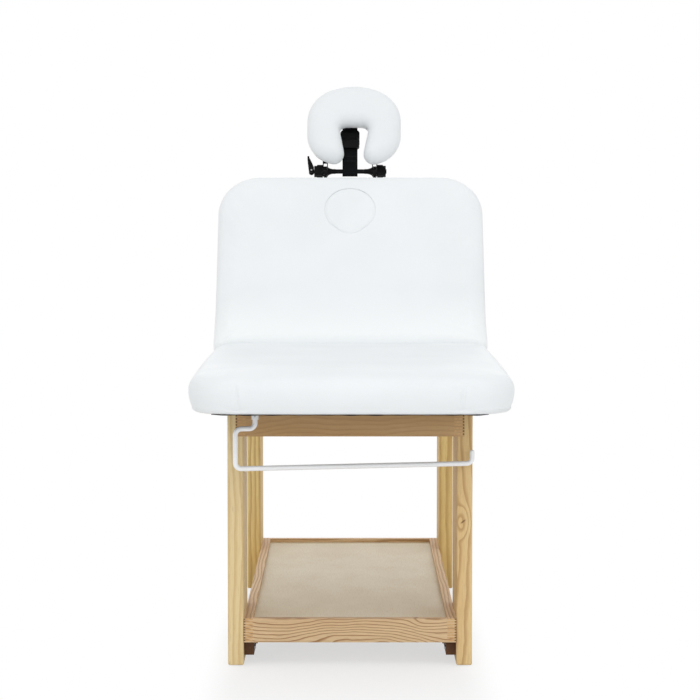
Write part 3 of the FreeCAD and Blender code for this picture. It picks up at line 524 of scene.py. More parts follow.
@dataclass(frozen=True)
class DustCloth:
    """Thin black bonded cloth under the boards."""

    colour: tuple[int, int, int] = (26, 25, 26)
    high: tuple[int, int, int] = (58, 56, 56)

    def make(self, name: str) -> bpy.types.Material:
        """Build the bonded cloth of that name."""
        art = Shader(name)
        spot = art.place()
        fibres = art.noise(art.stretched(spot, (260.0, 900.0, 900.0)), 1.0, 3.0, 0.7)
        dots = art.cells(spot, 420.0)
        colour = art.mix(fibres * 0.7, tone(*self.colour), tone(*self.high))
        return art.surface({"Base Color": colour, "Roughness": 0.85 + 0.1 * (fibres - 0.5),
                            "Normal": art.bump(dots * 0.7 + fibres * 0.3, 0.0004, 0.7)})


class Recline:
    """The backrest's axes at rest: across the table, along the back and out of its face."""

    def __init__(self) -> None:
        """Read the hinge line and the two directions from the frame's joints."""
        joints = {joint["name"]: joint for joint in frame["joints"]}
        self.hinge = Vector(joints["backrest_tilt"]["pos_m"])
        self.along = Vector(joints["cradle_slide"]["axis"]).normalized()
        self.out = Vector(joints["plug_lift"]["axis"]).normalized()
        self.slope = math.atan2(self.along.z, self.along.y)

    def point(self, across: float, along: float, out: float) -> Vector:
        """Place a point of the reclined back in the table's frame."""
        return self.hinge + Vector((across, 0, 0)) + self.along * along + self.out * out

    def flat_point(self, across: float, along: float, out: float) -> Vector:
        """Place a point measured from the hinge towards the foot, on the level seat."""
        return self.hinge + Vector((across, -along, out))

    def local(self, points: np.ndarray) -> np.ndarray:
        """Give points as across, along the back and out of its face.

        Args:
            points: Rows of table coordinates.

        Returns:
            Rows of the back's own coordinates.
        """
        axes = np.array([(1.0, 0.0, 0.0), self.along[:], self.out[:]])
        return (points - np.array(self.hinge[:])) @ axes.T

    def fold_ends(self, reach: float) -> tuple[Vector, Vector]:
        """Points before and after the fold, square to the plane where seat and back meet."""
        way = Vector((0, math.cos(self.slope / 2), math.sin(self.slope / 2)))
        return self.hinge - way * reach, self.hinge + way * reach

    def past_fold(self, points: np.ndarray) -> np.ndarray:
        """Distances of points beyond the plane where seat and back meet."""
        way = np.array(self.fold_ends(1.0)[1][:]) - np.array(self.hinge[:])
        return (points - np.array(self.hinge[:])) @ way


RECLINE = Recline()


def focus(obj: bpy.types.Object) -> None:
    """Select one object alone and make it the active one."""
    if bpy.context.object and bpy.context.object.mode != "OBJECT":
        bpy.ops.object.mode_set(mode="OBJECT")
    bpy.ops.object.select_all(action="DESELECT")
    obj.select_set(True)
    bpy.context.view_layer.objects.active = obj


def corners(obj: bpy.types.Object) -> np.ndarray:
    """Read a mesh's points as rows of coordinates."""
    flat = np.empty(len(obj.data.vertices) * 3, dtype=np.float32)
    obj.data.vertices.foreach_get("co", flat)
    return flat.reshape(-1, 3).astype(float)


def set_corners(obj: bpy.types.Object, points: np.ndarray) -> None:
    """Write a mesh's points from rows of coordinates."""
    obj.data.vertices.foreach_set("co", np.asarray(points, dtype=np.float32).ravel())
    obj.data.update()


def outward(obj: bpy.types.Object) -> np.ndarray:
    """Read the normals at a mesh's points."""
    flat = np.empty(len(obj.data.vertices) * 3, dtype=np.float32)
    obj.data.vertices.foreach_get("normal", flat)
    return flat.reshape(-1, 3).astype(float)


def apply_modifier(obj: bpy.types.Object, kind: str, settings: dict[str, Any]) -> None:
    """Add a modifier with its settings and apply it.

    Args:
        obj: The piece.
        kind: Blender's modifier type.
        settings: Properties of the modifier.
    """
    focus(obj)
    modifier = obj.modifiers.new(kind.title(), kind)
    for name, value in settings.items():
        setattr(modifier, name, value)
    bpy.ops.object.modifier_apply(modifier=modifier.name)


def face_out(obj: bpy.types.Object) -> None:
    """Merge doubled points and turn all faces outwards."""
    focus(obj)
    bpy.ops.object.mode_set(mode="EDIT")
    bpy.ops.mesh.select_all(action="SELECT")
    bpy.ops.mesh.remove_doubles(threshold=1e-6)
    bpy.ops.mesh.normals_make_consistent(inside=False)
    bpy.ops.object.mode_set(mode="OBJECT")


def settle(obj: bpy.types.Object) -> None:
    """Put an object's place, turn and scale into its mesh."""
    focus(obj)
    bpy.ops.object.transform_apply(location=True, rotation=True, scale=True)


def smooth_shade(obj: bpy.types.Object, degrees: float) -> None:
    """Shade a piece smooth below an angle between faces."""
    focus(obj)
    bpy.ops.object.shade_smooth_by_angle(angle=math.radians(degrees))


def loft(name: str, rings: Sequence[Sequence[Vector]]) -> bpy.types.Object:
    """Skin equal rings of points and close both ends.

    Args:
        name: Name of the new piece.
        rings: Closed rings of the same number of points.

    Returns:
        The closed mesh object.
    """
    form = bmesh.new()
    rows = [[form.verts.new(point) for point in ring] for ring in rings]
    count = len(rows[0])
    for lower, upper in zip(rows, rows[1:]):
        for index in range(count):
            after = (index + 1) % count
            form.faces.new((lower[index], lower[after], upper[after], upper[index]))
    form.faces.new(rows[0])
    form.faces.new(rows[-1])
    bmesh.ops.recalc_face_normals(form, faces=form.faces)
    mesh = bpy.data.meshes.new(name)
    form.to_mesh(mesh)
    form.free()
    obj = bpy.data.objects.new(name, mesh)
    bpy.context.scene.collection.objects.link(obj)
    return obj


def remesh(obj: bpy.types.Object, voxel: float, passes: int) -> None:
    """Give a closed form even quads and relax them.

    Args:
        obj: The piece.
        voxel: Size of a quad in metres.
        passes: Rounds of smoothing.
    """
    focus(obj)
    obj.data.remesh_voxel_size = voxel
    bpy.ops.object.voxel_remesh()
    apply_modifier(obj, "SMOOTH", {"factor": 0.5, "iterations": passes})


def inflate(obj: bpy.types.Object, held: np.ndarray, cap: float) -> None:
    """Blow a cover up with cloth pressure and no gravity.

    Args:
        obj: The closed cover.
        held: True at the points that stay where they are.
        cap: Furthest that a point may move, in metres.
    """
    focus(obj)
    before = corners(obj)
    group = obj.vertex_groups.new(name="held")
    group.add([int(index) for index in np.flatnonzero(held)], 1.0, "REPLACE")
    modifier = obj.modifiers.new("Inflate", "CLOTH")
    modifier.settings.quality = 4
    modifier.settings.use_pressure = True
    modifier.settings.uniform_pressure_force = CLOTH_PRESSURE
    modifier.settings.vertex_group_mass = "held"
    modifier.settings.effector_weights.gravity = 0
    modifier.point_cache.frame_start = 1
    modifier.point_cache.frame_end = CLOTH_FRAMES
    for step in range(1, CLOTH_FRAMES + 1):
        bpy.context.scene.frame_set(step)
    bpy.ops.object.modifier_apply(modifier=modifier.name)
    bpy.context.scene.frame_set(1)
    move = corners(obj) - before
    far = np.linalg.norm(move, axis=1, keepdims=True)
    soft = cap * np.tanh(far / cap) / np.maximum(far, 1e-9)
    set_corners(obj, before + move * soft)
    obj.vertex_groups.clear()


def refine(obj: bpy.types.Object, near: Callable[[np.ndarray], np.ndarray]) -> None:
    """Divide the faces of a piece that lie near a detail.

    Args:
        obj: The piece.
        near: Gives True for the face centres to divide.
    """
    focus(obj)
    flat = np.empty(len(obj.data.polygons) * 3, dtype=np.float32)
    obj.data.polygons.foreach_get("center", flat)
    chosen = near(flat.reshape(-1, 3).astype(float))
    bpy.ops.object.mode_set(mode="EDIT")
    bpy.ops.mesh.select_all(action="DESELECT")
    bpy.ops.mesh.select_mode(type="FACE")
    bpy.ops.object.mode_set(mode="OBJECT")
    obj.data.polygons.foreach_set("select", chosen)
    bpy.ops.object.mode_set(mode="EDIT")
    bpy.ops.mesh.subdivide(number_cuts=1)
    bpy.ops.object.mode_set(mode="OBJECT")


def press(obj: bpy.types.Object, depth: Callable[[np.ndarray], np.ndarray]) -> None:
    """Move points in along their normals.

    Args:
        obj: The piece.
        depth: Gives the depth at each point, in metres.
    """
    points = corners(obj)
    set_corners(obj, points - outward(obj) * depth(points)[:, None])


def clear_cut(obj: bpy.types.Object) -> None:
    """Take out the spare points that a cut leaves, and split its many-sided faces into triangles."""
    form = bmesh.new()
    form.from_mesh(obj.data)
    bmesh.ops.dissolve_verts(form, verts=[point for point in form.verts if len(point.link_edges) == 2])
    bmesh.ops.triangulate(form, faces=[face for face in form.faces if len(face.verts) > 4])
    form.to_mesh(obj.data)
    form.free()


def dress(obj: bpy.types.Object, material: bpy.types.Material) -> None:
    """Give a piece one material."""
    obj.data.materials.clear()
    obj.data.materials.append(material)


def hill(distance: np.ndarray, width: float) -> np.ndarray:
    """Smooth bump of height 1 that fades over a width."""
    return np.exp(-(distance / width) ** 2)


@dataclass
class PadForm:
    """Sizes of one upholstered pad, measured from the hinge line."""

    length: float
    voxel: float
    cap: float
    half_width: float = 0.3835
    far_corner: float = 0.118
    near_corner: float = 0.034
    base: float = 0.012
    crease: float = 0.020
    aside: float = 0.0015
    near_least: float = 0.010
    far_least: float = 0.030
    end_steps: int = 30
    side_steps: int = 50
    near_steps: int = 6
    far_steps: int = 16
    relax: int = 5
    hem: tuple[tuple[float, float], ...] = ((0.010, 0.052), (-0.0006, 0.048), (-0.0010, 0.027))
    profile: tuple[tuple[float, float], ...] = (
        (0.0, 19.0), (3.5, 14.6), (8.0, 10.8), (14.0, 7.4), (24.0, 3.8), (34.0, 1.6), (44.0, 0.4),
        (54.0, 0.0), (62.0, 1.0), (70.0, 3.8), (76.0, 8.0), (81.0, 14.0), (85.0, 22.5), (87.6, 33.0),
        (89.2, 46.0), (90.0, 62.0))

    def outline(self, inset: float, near: float) -> list[tuple[float, float]]:
        """Rounded outline at one level.

        Args:
            inset: How far the outline is drawn in.
            near: Where the edge at the hinge is.

        Returns:
            Points across and along the pad.
        """
        half, far = self.half_width - inset, self.length - inset
        near_round = max(self.near_corner - 0.6 * inset, self.near_least)
        far_round = max(self.far_corner - inset, self.far_least)
        points: list[tuple[float, float]] = []

        def run(start: tuple[float, float], end: tuple[float, float], steps: int) -> None:
            """Add points of a straight run, without its end."""
            for index in range(steps):
                share = index / steps
                points.append((start[0] + share * (end[0] - start[0]),
                               start[1] + share * (end[1] - start[1])))

        def turn(centre: tuple[float, float], radius: float, first: float, steps: int) -> None:
            """Add points of a quarter turn, without its end."""
            for index in range(steps):
                angle = math.radians(first + 90.0 * index / steps)
                points.append((centre[0] + radius * math.cos(angle), centre[1] + radius * math.sin(angle)))

        run((-half + near_round, near), (half - near_round, near), self.end_steps)
        turn((half - near_round, near + near_round), near_round, -90.0, self.near_steps)
        run((half, near + near_round), (half, far - far_round), self.side_steps)
        turn((half - far_round, far - far_round), far_round, 0.0, self.far_steps)
        run((half - far_round, far), (-half + far_round, far), self.end_steps)
        turn((-half + far_round, far - far_round), far_round, 90.0, self.far_steps)
        run((-half, far - far_round), (-half, near + near_round), self.side_steps)
        turn((-half + near_round, near + near_round), near_round, 180.0, self.near_steps)
        return points

    def levels(self) -> list[tuple[float, float]]:
        """Heights with their insets, from the hem under the board to the top."""
        return [*self.hem, *((height * MM, inset * MM) for height, inset in self.profile)]

    def build(self, name: str, place: Callable[[float, float, float], Vector]) -> bpy.types.Object:
        """Loft the pad and give it even faces.

        Args:
            name: Name of the piece.
            place: Turns across, along and out into a point of the table.

        Returns:
            The padded piece.
        """
        slant = math.tan(RECLINE.slope / 2)
        top = self.base + self.levels()[-1][0]
        rings = []
        for height, inset in self.levels():
            out = self.base + height
            rise = max(0.0, out - (top - self.crease))
            ease = self.crease - math.sqrt(max(self.crease ** 2 - rise ** 2, 0.0))
            near = out * slant + 0.8 * ease
            rings.append([place(x + self.aside, along, out) for x, along in self.outline(inset, near)])
        pad = loft(name, rings)
        remesh(pad, self.voxel, self.relax)
        return pad


@dataclass
class Seat:
    """Level pad of the table with its sewn front corners."""

    cover: bpy.types.Material
    form: PadForm
    belly: float = 0.0055
    dart_x: float = 0.262
    dart_deep: float = 0.0026
    dart_wide: float = 0.0042
    dart_lean: float = 0.012
    dart_low: float = 0.006
    dart_high: float = 0.074
    dart_back: float = 0.05
    dart_zones: tuple[tuple[float, float], ...] = ((0.020, 0.06), (0.011, 0.05))
    puff_high: float = 0.0008
    puff_wide: float = 0.007
    belly_from: float = 0.20
    belly_over: float = 0.16

    def build(self) -> bpy.types.Object:
        """Make the pad, blow it up and sew its darts."""
        pad = self.form.build("upholstered_seat", RECLINE.flat_point)
        inflate(pad, self.held(corners(pad)), self.form.cap)
        self.bow_out(pad)
        for beside, back in self.dart_zones:
            refine(pad, lambda at: (np.abs(np.abs(at[:, 0]) - self.dart_x) < beside)
                   & (at[:, 1] < self.front() + back))
        press(pad, self.darts)
        smooth_shade(pad, 60)
        return pad

    def bow_out(self, pad: bpy.types.Object) -> None:
        """Let the long sides belly out a little between their ends."""
        points = corners(pad)
        share = np.clip((RECLINE.hinge.y - points[:, 1]) / self.form.length, 0.0, 1.0)
        side = np.clip((np.abs(points[:, 0]) - self.belly_from) / self.belly_over, 0.0, 1.0)
        points[:, 0] += np.sign(points[:, 0]) * self.belly * np.sin(math.pi * share) * side ** 2
        set_corners(pad, points)

    def front(self) -> float:
        """Place of the foot end."""
        return RECLINE.hinge.y - self.form.length

    def held(self, points: np.ndarray) -> np.ndarray:
        """Points on the board's hem and at the fold stay put."""
        low = points[:, 2] < RECLINE.hinge.z + self.form.base + HEM_HELD
        return low | (RECLINE.past_fold(points) > -FOLD_HELD)

    def darts(self, points: np.ndarray) -> np.ndarray:
        """Depth of the two upright seams at the front corners."""
        beside = np.abs(points[:, 0]) - self.dart_x
        height = points[:, 2] - (RECLINE.hinge.z + self.form.base)
        lean = beside - self.dart_lean * (height / 0.09 - 0.5)
        ends = 1.0 / (1.0 + np.exp(-(height - self.dart_low) / 0.003))
        ends = ends / (1.0 + np.exp((height - self.dart_high) / 0.004))
        front = points[:, 1] < self.front() + self.dart_back
        puff = hill(np.abs(lean) - self.dart_lean, self.puff_wide) * self.puff_high
        return np.where(front, ends * (self.dart_deep * hill(lean, self.dart_wide) - puff), 0.0)

    def dress(self, pad: bpy.types.Object) -> None:
        """Cover the pad, hide the frame's seat pad and set the pad's place into its mesh."""
        dress(pad, self.cover)
        start, end = RECLINE.fold_ends(FOLD_REACH)
        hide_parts("seat_pad")
        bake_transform(pad)
        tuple(start)
        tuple(end)


@dataclass
class FaceHole:
    """Egg-shaped face opening of the backrest."""

    wide_at: float = 0.4885
    wide_radius: float = 0.073
    slim_at: float = 0.4615
    slim_radius: float = 0.052
    edge_points: int = 240
    near: tuple[float, float] = (0.12, 0.13)

    def outline(self, inset: float, steps: int = 96) -> list[tuple[float, float]]:
        """Points of the egg, drawn in by an inset."""
        switch = -(self.wide_radius - self.slim_radius) / (self.wide_at - self.slim_at)
        points = []
        for index in range(steps):
            angle = 2 * math.pi * index / steps
            wide = math.cos(angle) > switch
            radius = (self.wide_radius if wide else self.slim_radius) - inset
            points.append((radius * math.sin(angle),
                           (self.wide_at if wide else self.slim_at) + radius * math.cos(angle)))
        return points

    def distance(self, local: np.ndarray) -> np.ndarray:
        """Distance of points from the egg's outline, seen square on."""
        edge = np.array(self.outline(0.0, self.edge_points))
        gaps = np.full(len(local), 1.0)
        near = (np.abs(local[:, 0]) < self.near[0]) & (np.abs(local[:, 1] - self.wide_at) < self.near[1])
        spread = local[near][:, None, :2] - edge[None, :, :]
        gaps[near] = np.sqrt((spread ** 2).sum(axis=2)).min(axis=1)
        return gaps


@dataclass
class Backrest:
    """Reclined pad with the face opening cut through it, and the plug that fills the opening."""

    cover: bpy.types.Material
    form: PadForm
    hole: FaceHole
    plug_low: float = 0.0365
    plug_proud: float = 0.0032
    rim_deep: float = 0.0004
    rim_wide: float = 0.0045
    cut_inset: float = 0.0002
    cut_depth: tuple[float, float] = (-0.02, 0.16)
    crown_at: float = 0.47
    crown_reach: float = 0.13
    crown_low: float = 0.085
    crown: Optional[np.ndarray] = None
    marks: tuple[tuple[float, float, float, float], ...] = (
        (-0.325, 0.115, 0.35, 0.0009), (0.318, 0.105, -0.45, 0.0011),
        (0.345, 0.150, -0.30, 0.0007), (-0.350, 0.160, 0.25, 0.0006))
    mark_pitch: float = 0.026
    mark_wide: float = 0.024
    mark_long: float = 0.045
    plug_levels: tuple[tuple[float, float], ...] = (
        (0.0, 0.0030), (0.004, 0.0012), (0.020, 0.0004), (0.048, -0.0006), (0.0610, -0.0009),
        (0.0645, 0.0002), (0.0656, 0.0030), (0.0660, 0.0120))
    plug_voxel: float = 0.0018
    plug_held: float = 0.045
    plug_cap: float = 0.0012

    def build(self) -> bpy.types.Object:
        """Make the pad, blow it up, wrinkle it and cut the face opening."""
        pad = self.form.build("upholstered_backrest", RECLINE.point)
        points = corners(pad)
        low = RECLINE.local(points)[:, 2] < self.form.base + HEM_HELD
        inflate(pad, low | (RECLINE.past_fold(points) < FOLD_HELD), self.form.cap)
        local = RECLINE.local(corners(pad))
        beside = np.abs(local[:, :2] - (0.0, self.crown_at)).max(axis=1) < self.crown_reach
        near = beside & (local[:, 2] > self.crown_low)
        self.crown = np.linalg.lstsq(self.terms(local[near]), local[near][:, 2], rcond=None)[0]
        press(pad, self.creases)
        egg = self.hole.outline(self.cut_inset)
        rings = [[RECLINE.point(x, u, out) for x, u in egg] for out in self.cut_depth]
        cutter = loft("face_cutter", rings)
        focus(pad)
        cut = pad.modifiers.new("Cut", "BOOLEAN")
        cut.operation = "DIFFERENCE"
        cut.object = cutter
        bpy.ops.object.modifier_apply(modifier=cut.name)
        bpy.data.objects.remove(cutter)
        clear_cut(pad)
        smooth_shade(pad, 50)
        return pad

    @staticmethod
    def terms(local: np.ndarray) -> np.ndarray:
        """Terms of a curved surface over across and along."""
        across, along = local[:, 0], local[:, 1]
        return np.column_stack((np.ones(len(local)), across, along, across ** 2, along ** 2, across * along))

    def creases(self, points: np.ndarray) -> np.ndarray:
        """Depth of the rim's soft edge and of the pull marks near the fold."""
        local = RECLINE.local(points)
        face = local[:, 2] > self.form.base + 0.060
        rim = self.rim_deep * hill(self.hole.distance(local), self.rim_wide)
        pulls = np.zeros(len(points))
        for across, along, lean, size in self.marks:
            beside = local[:, 0] - across
            du = local[:, 1] - along - lean * beside
            wave = np.sin(du * 2 * math.pi / self.mark_pitch)
            pulls += size * wave * hill(du, self.mark_wide) * hill(beside, self.mark_long)
        return np.where(face, rim + pulls, 0.0)

    def build_plug(self) -> bpy.types.Object:
        """Make the plug's pad, a little smaller than the opening."""
        rings = [[RECLINE.point(x, u, self.plug_low + rise) for x, u in self.hole.outline(inset)]
                 for rise, inset in self.plug_levels]
        plug = loft("upholstered_face_plug", rings)
        remesh(plug, self.plug_voxel, 1)
        local = RECLINE.local(corners(plug))
        inflate(plug, local[:, 2] < self.plug_low + self.plug_held, self.plug_cap)
        points = corners(plug)
        local = RECLINE.local(points)
        level = np.percentile(local[:, 2], 98)
        above = local[:, 2] - self.plug_low - self.plug_held
        share = np.clip(above / (level - self.plug_low - self.plug_held), 0.0, 1.0)
        lift = share * (self.terms(local) @ self.crown + self.plug_proud - level)
        set_corners(plug, points + lift[:, None] * np.array(RECLINE.out[:]))
        smooth_shade(plug, 60)
        return plug

    def dress(self, pad: bpy.types.Object, plug: bpy.types.Object) -> None:
        """Cover both pads, set the backrest pad's place into its mesh and tie the plug to its body."""
        start, end = RECLINE.fold_ends(FOLD_REACH)
        dress(pad, self.cover)
        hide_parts("backrest_pad")
        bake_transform(pad)
        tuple(start)
        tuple(end)
        dress(plug, self.cover)
        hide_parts("plug_pad")
        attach(plug, "plug")


@dataclass
class FaceCradle:
    """Horseshoe cushion and webbing of the face cradle."""

    cover: bpy.types.Material
    tape: bpy.types.Material
    thread: bpy.types.Material
    top: float = 0.928
    half: float = 0.137
    top_radius: float = 0.180
    upper_radius: float = 0.112
    lower_radius: float = 0.095
    lower: float = 0.763
    tip_radius: float = 0.030
    gap: float = 0.056
    hole_half: float = 0.041
    hole_round: float = 0.020
    hole_top: float = 0.797
    low: float = 0.045
    shift: float = 0.012
    turn: float = -0.6
    tape_width: float = 0.044
    tape_thick: float = 0.0020
    wrap: tuple[float, float] = (0.0088, 0.0086)
    bar: tuple[float, float] = (0.673, 0.017)
    upper_path: tuple[tuple[float, float], ...] = (
        (0.794, 0.0326), (0.804, 0.0332), (0.816, 0.0337), (0.838, 0.0338), (0.858, 0.0338))
    stitch: tuple[float, float, float] = (0.0026, 0.0009, 0.0006)
    stitch_rows: tuple[float, float] = (0.030, 0.046)
    stitch_pitch: float = 0.0041
    voxel: float = 0.0045
    held: float = 0.004
    cap: float = 0.0035
    profile: tuple[tuple[float, float], ...] = (
        (0.0, 12.0), (3.0, 7.5), (8.0, 3.6), (15.0, 1.0), (23.0, 0.0), (32.0, 0.4), (40.0, 3.0), (47.0, 7.4),
        (52.5, 13.0), (56.5, 19.5), (59.0, 26.5))

    def outline(self, inset: float) -> list[tuple[float, float]]:
        """Points of the horseshoe, drawn in by an inset.

        Args:
            inset: How far the outline is drawn in, in metres.

        Returns:
            Points across and along the back, from the top round the right tip and back by the left.
        """
        upper_x, lower_x = self.half - self.upper_radius, self.half - self.lower_radius
        top_u = self.top - self.top_radius
        swing = math.acos(upper_x / (self.top_radius - self.upper_radius))
        upper_u = top_u + (self.top_radius - self.upper_radius) * math.sin(swing)
        tip_x = self.gap / 2 + self.tip_radius
        tip_u = self.lower - math.sqrt((self.lower_radius - self.tip_radius) ** 2 - (tip_x - lower_x) ** 2)
        tip_angle = math.atan2(tip_u - self.lower, tip_x - lower_x)
        round_x, round_u = self.hole_half - self.hole_round, self.hole_top - self.hole_round
        gap_x, gap_u = tip_x - round_x, tip_u - round_u
        lean = math.acos((self.hole_round + self.tip_radius) / math.hypot(gap_x, gap_u))
        side_angle = math.atan2(gap_u, gap_x) + lean
        tip = max(self.tip_radius - inset, 0.002)
        arcs = ((0.0, top_u, self.top_radius - inset, math.pi / 2, swing, 16),
                (upper_x, upper_u, self.upper_radius - inset, swing, 0.0, 24),
                (lower_x, self.lower, self.lower_radius - inset, 0.0, tip_angle, 22),
                (tip_x, tip_u, tip, tip_angle, side_angle - math.pi, 22),
                (round_x, round_u, self.hole_round + inset, side_angle, math.pi / 2, 14))
        half = []
        for centre_x, centre_u, radius, first, last, steps in arcs:
            for index in range(steps + 1):
                angle = first + (last - first) * index / steps
                half.append((centre_x + radius * math.cos(angle), centre_u + radius * math.sin(angle)))
        other = [(-x, u) for x, u in reversed(half[1:])]
        return half + other

    def build_cushion(self) -> bpy.types.Object:
        """Make the cushion and blow it up."""
        turn = math.radians(self.turn)
        rings = []
        for height, inset in self.profile:
            ring = []
            for x, u in self.outline(inset * MM):
                du = u - self.hole_top
                ring.append(RECLINE.point(x * math.cos(turn) - du * math.sin(turn) + self.shift,
                                          self.hole_top + x * math.sin(turn) + du * math.cos(turn),
                                          self.low + height * MM))
            rings.append(ring)
        cushion = loft("face_cradle_cushion", rings)
        remesh(cushion, self.voxel, 4)
        local = RECLINE.local(corners(cushion))
        inflate(cushion, local[:, 2] < self.low + self.held, self.cap)
        apply_modifier(cushion, "SUBSURF", {"levels": 1, "render_levels": 1})
        smooth_shade(cushion, 60)
        return cushion

    def tape_path(self) -> list[tuple[float, float]]:
        """Points of the webbing along the back and out: round the crossbar and up to the platform."""
        bar_u, bar_n = self.bar
        path = [(bar_u + 0.052, bar_n - 0.0035), (bar_u + 0.022, bar_n - 0.0072)]
        for index in range(13):
            angle = math.radians(280.0 - 15.0 * index)
            stretch = 1.75 if math.cos(angle - math.pi) > 0.5 else 1.25
            path.append((bar_u + self.wrap[0] * stretch * math.cos(angle),
                         bar_n + self.wrap[1] * math.sin(angle)))
        for rise, out in ((0.024, 0.0085), (0.055, 0.0105), (0.078, 0.0125)):
            path.append((bar_u + rise, bar_n + out))
        return path

    def build_tape(self) -> bpy.types.Object:
        """Lay the webbing in two runs and join them."""
        runs = (("cradle_webbing", self.tape_path()), ("upper_run", self.upper_path))
        lower, upper = (ribbon(name, [RECLINE.point(0, u, n) for u, n in path], self.tape_width,
                               self.tape_thick) for name, path in runs)
        focus(lower)
        upper.select_set(True)
        bpy.ops.object.join()
        return lower

    def build_stitches(self) -> bpy.types.Object:
        """Sew two rows of thread across the webbing's lap above the crossbar."""
        places = []
        for row in self.stitch_rows:
            rise = 0.0085 + (row - 0.024) * 0.0555 + self.tape_thick / 2 + 0.0002
            for index in range(-4, 5):
                places.append(RECLINE.point(index * self.stitch_pitch, self.bar[0] + row, self.bar[1] + rise))
        return copies("cradle_webbing_stitches", self.stitch, places, RECLINE.slope)

    def dress(self, cushion: bpy.types.Object, tape: bpy.types.Object, stitches: bpy.types.Object) -> None:
        """Finish the cushion and the webbing and tie them to the cradle."""
        dress(cushion, self.cover)
        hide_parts("cradle_cushion")
        dress(tape, self.tape)
        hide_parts("cradle_strap")
        dress(stitches, self.thread)
        for piece in (cushion, tape, stitches):
            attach(piece, "cradle_head")


def ribbon(name: str, path: Sequence[Vector], width: float, thick: float) -> bpy.types.Object:
    """Lay a flat tape across the table along a path.

    Args:
        name: Name of the piece.
        path: Points of the tape's middle line, which it passes smoothly.
        width: Width across the table.
        thick: Thickness of the tape.

    Returns:
        The tape, with a UV map in metres along and across.
    """
    ends = [path[0] * 2 - path[1], *path, path[-1] * 2 - path[-2]]
    line: list[Vector] = []
    for before, start, end, after in zip(ends, ends[1:], ends[2:], ends[3:]):
        for index in range(RIBBON_STEPS):
            share = index / RIBBON_STEPS
            line.append(0.5 * (2 * start + (end - before) * share
                               + (2 * before - 5 * start + 4 * end - after) * share ** 2
                               + (3 * start - before - 3 * end + after) * share ** 3))
    line.append(path[-1])
    lengths = [0.0]
    for start, end in zip(line, line[1:]):
        lengths.append(lengths[-1] + (end - start).length)
    bpy.ops.object.select_all(action="DESELECT")
    bpy.ops.mesh.primitive_grid_add(x_subdivisions=6, y_subdivisions=len(line) - 1, size=1.0)
    tape = bpy.context.object
    tape.name = tape.data.name = name
    chart = tape.data.uv_layers[0]
    rows = [round((vertex.co.y + 0.5) * (len(line) - 1)) for vertex in tape.data.vertices]
    sides = [vertex.co.x * width for vertex in tape.data.vertices]
    for loop in tape.data.loops:
        chart.data[loop.index].uv = (lengths[rows[loop.vertex_index]], sides[loop.vertex_index])
    for vertex, row, side in zip(tape.data.vertices, rows, sides):
        vertex.co = line[row] + Vector((side, 0, 0))
    apply_modifier(tape, "SOLIDIFY", {"thickness": thick, "offset": 0.0})
    face_out(tape)
    smooth_shade(tape, 40)
    return tape


def copies(name: str, size: tuple[float, float, float], places: Sequence[Vector],
           slope: float) -> bpy.types.Object:
    """Model one small softened bar and set copies of it in one mesh.

    Args:
        name: Name of the piece.
        size: Its three sizes before it is tilted.
        places: Middles of the copies.
        slope: Tilt about the table's cross axis, in radians.

    Returns:
        The joined piece.
    """
    bpy.ops.object.select_all(action="DESELECT")
    bpy.ops.mesh.primitive_cube_add(size=1.0)
    first = bpy.context.object
    first.name = first.data.name = name
    first.scale = size
    settle(first)
    apply_modifier(first, "BEVEL", {"width": min(size) * 0.35, "segments": 1})
    first.rotation_euler = (slope, 0, 0)
    settle(first)
    made = [first]
    for _ in places[1:]:
        twin = first.copy()
        twin.data = first.data.copy()
        bpy.context.scene.collection.objects.link(twin)
        made.append(twin)
    for piece, place in zip(made, places):
        piece.data.transform(Matrix.Translation(place))
    focus(first)
    for piece in made[1:]:
        piece.select_set(True)
    bpy.ops.object.join()
    return first


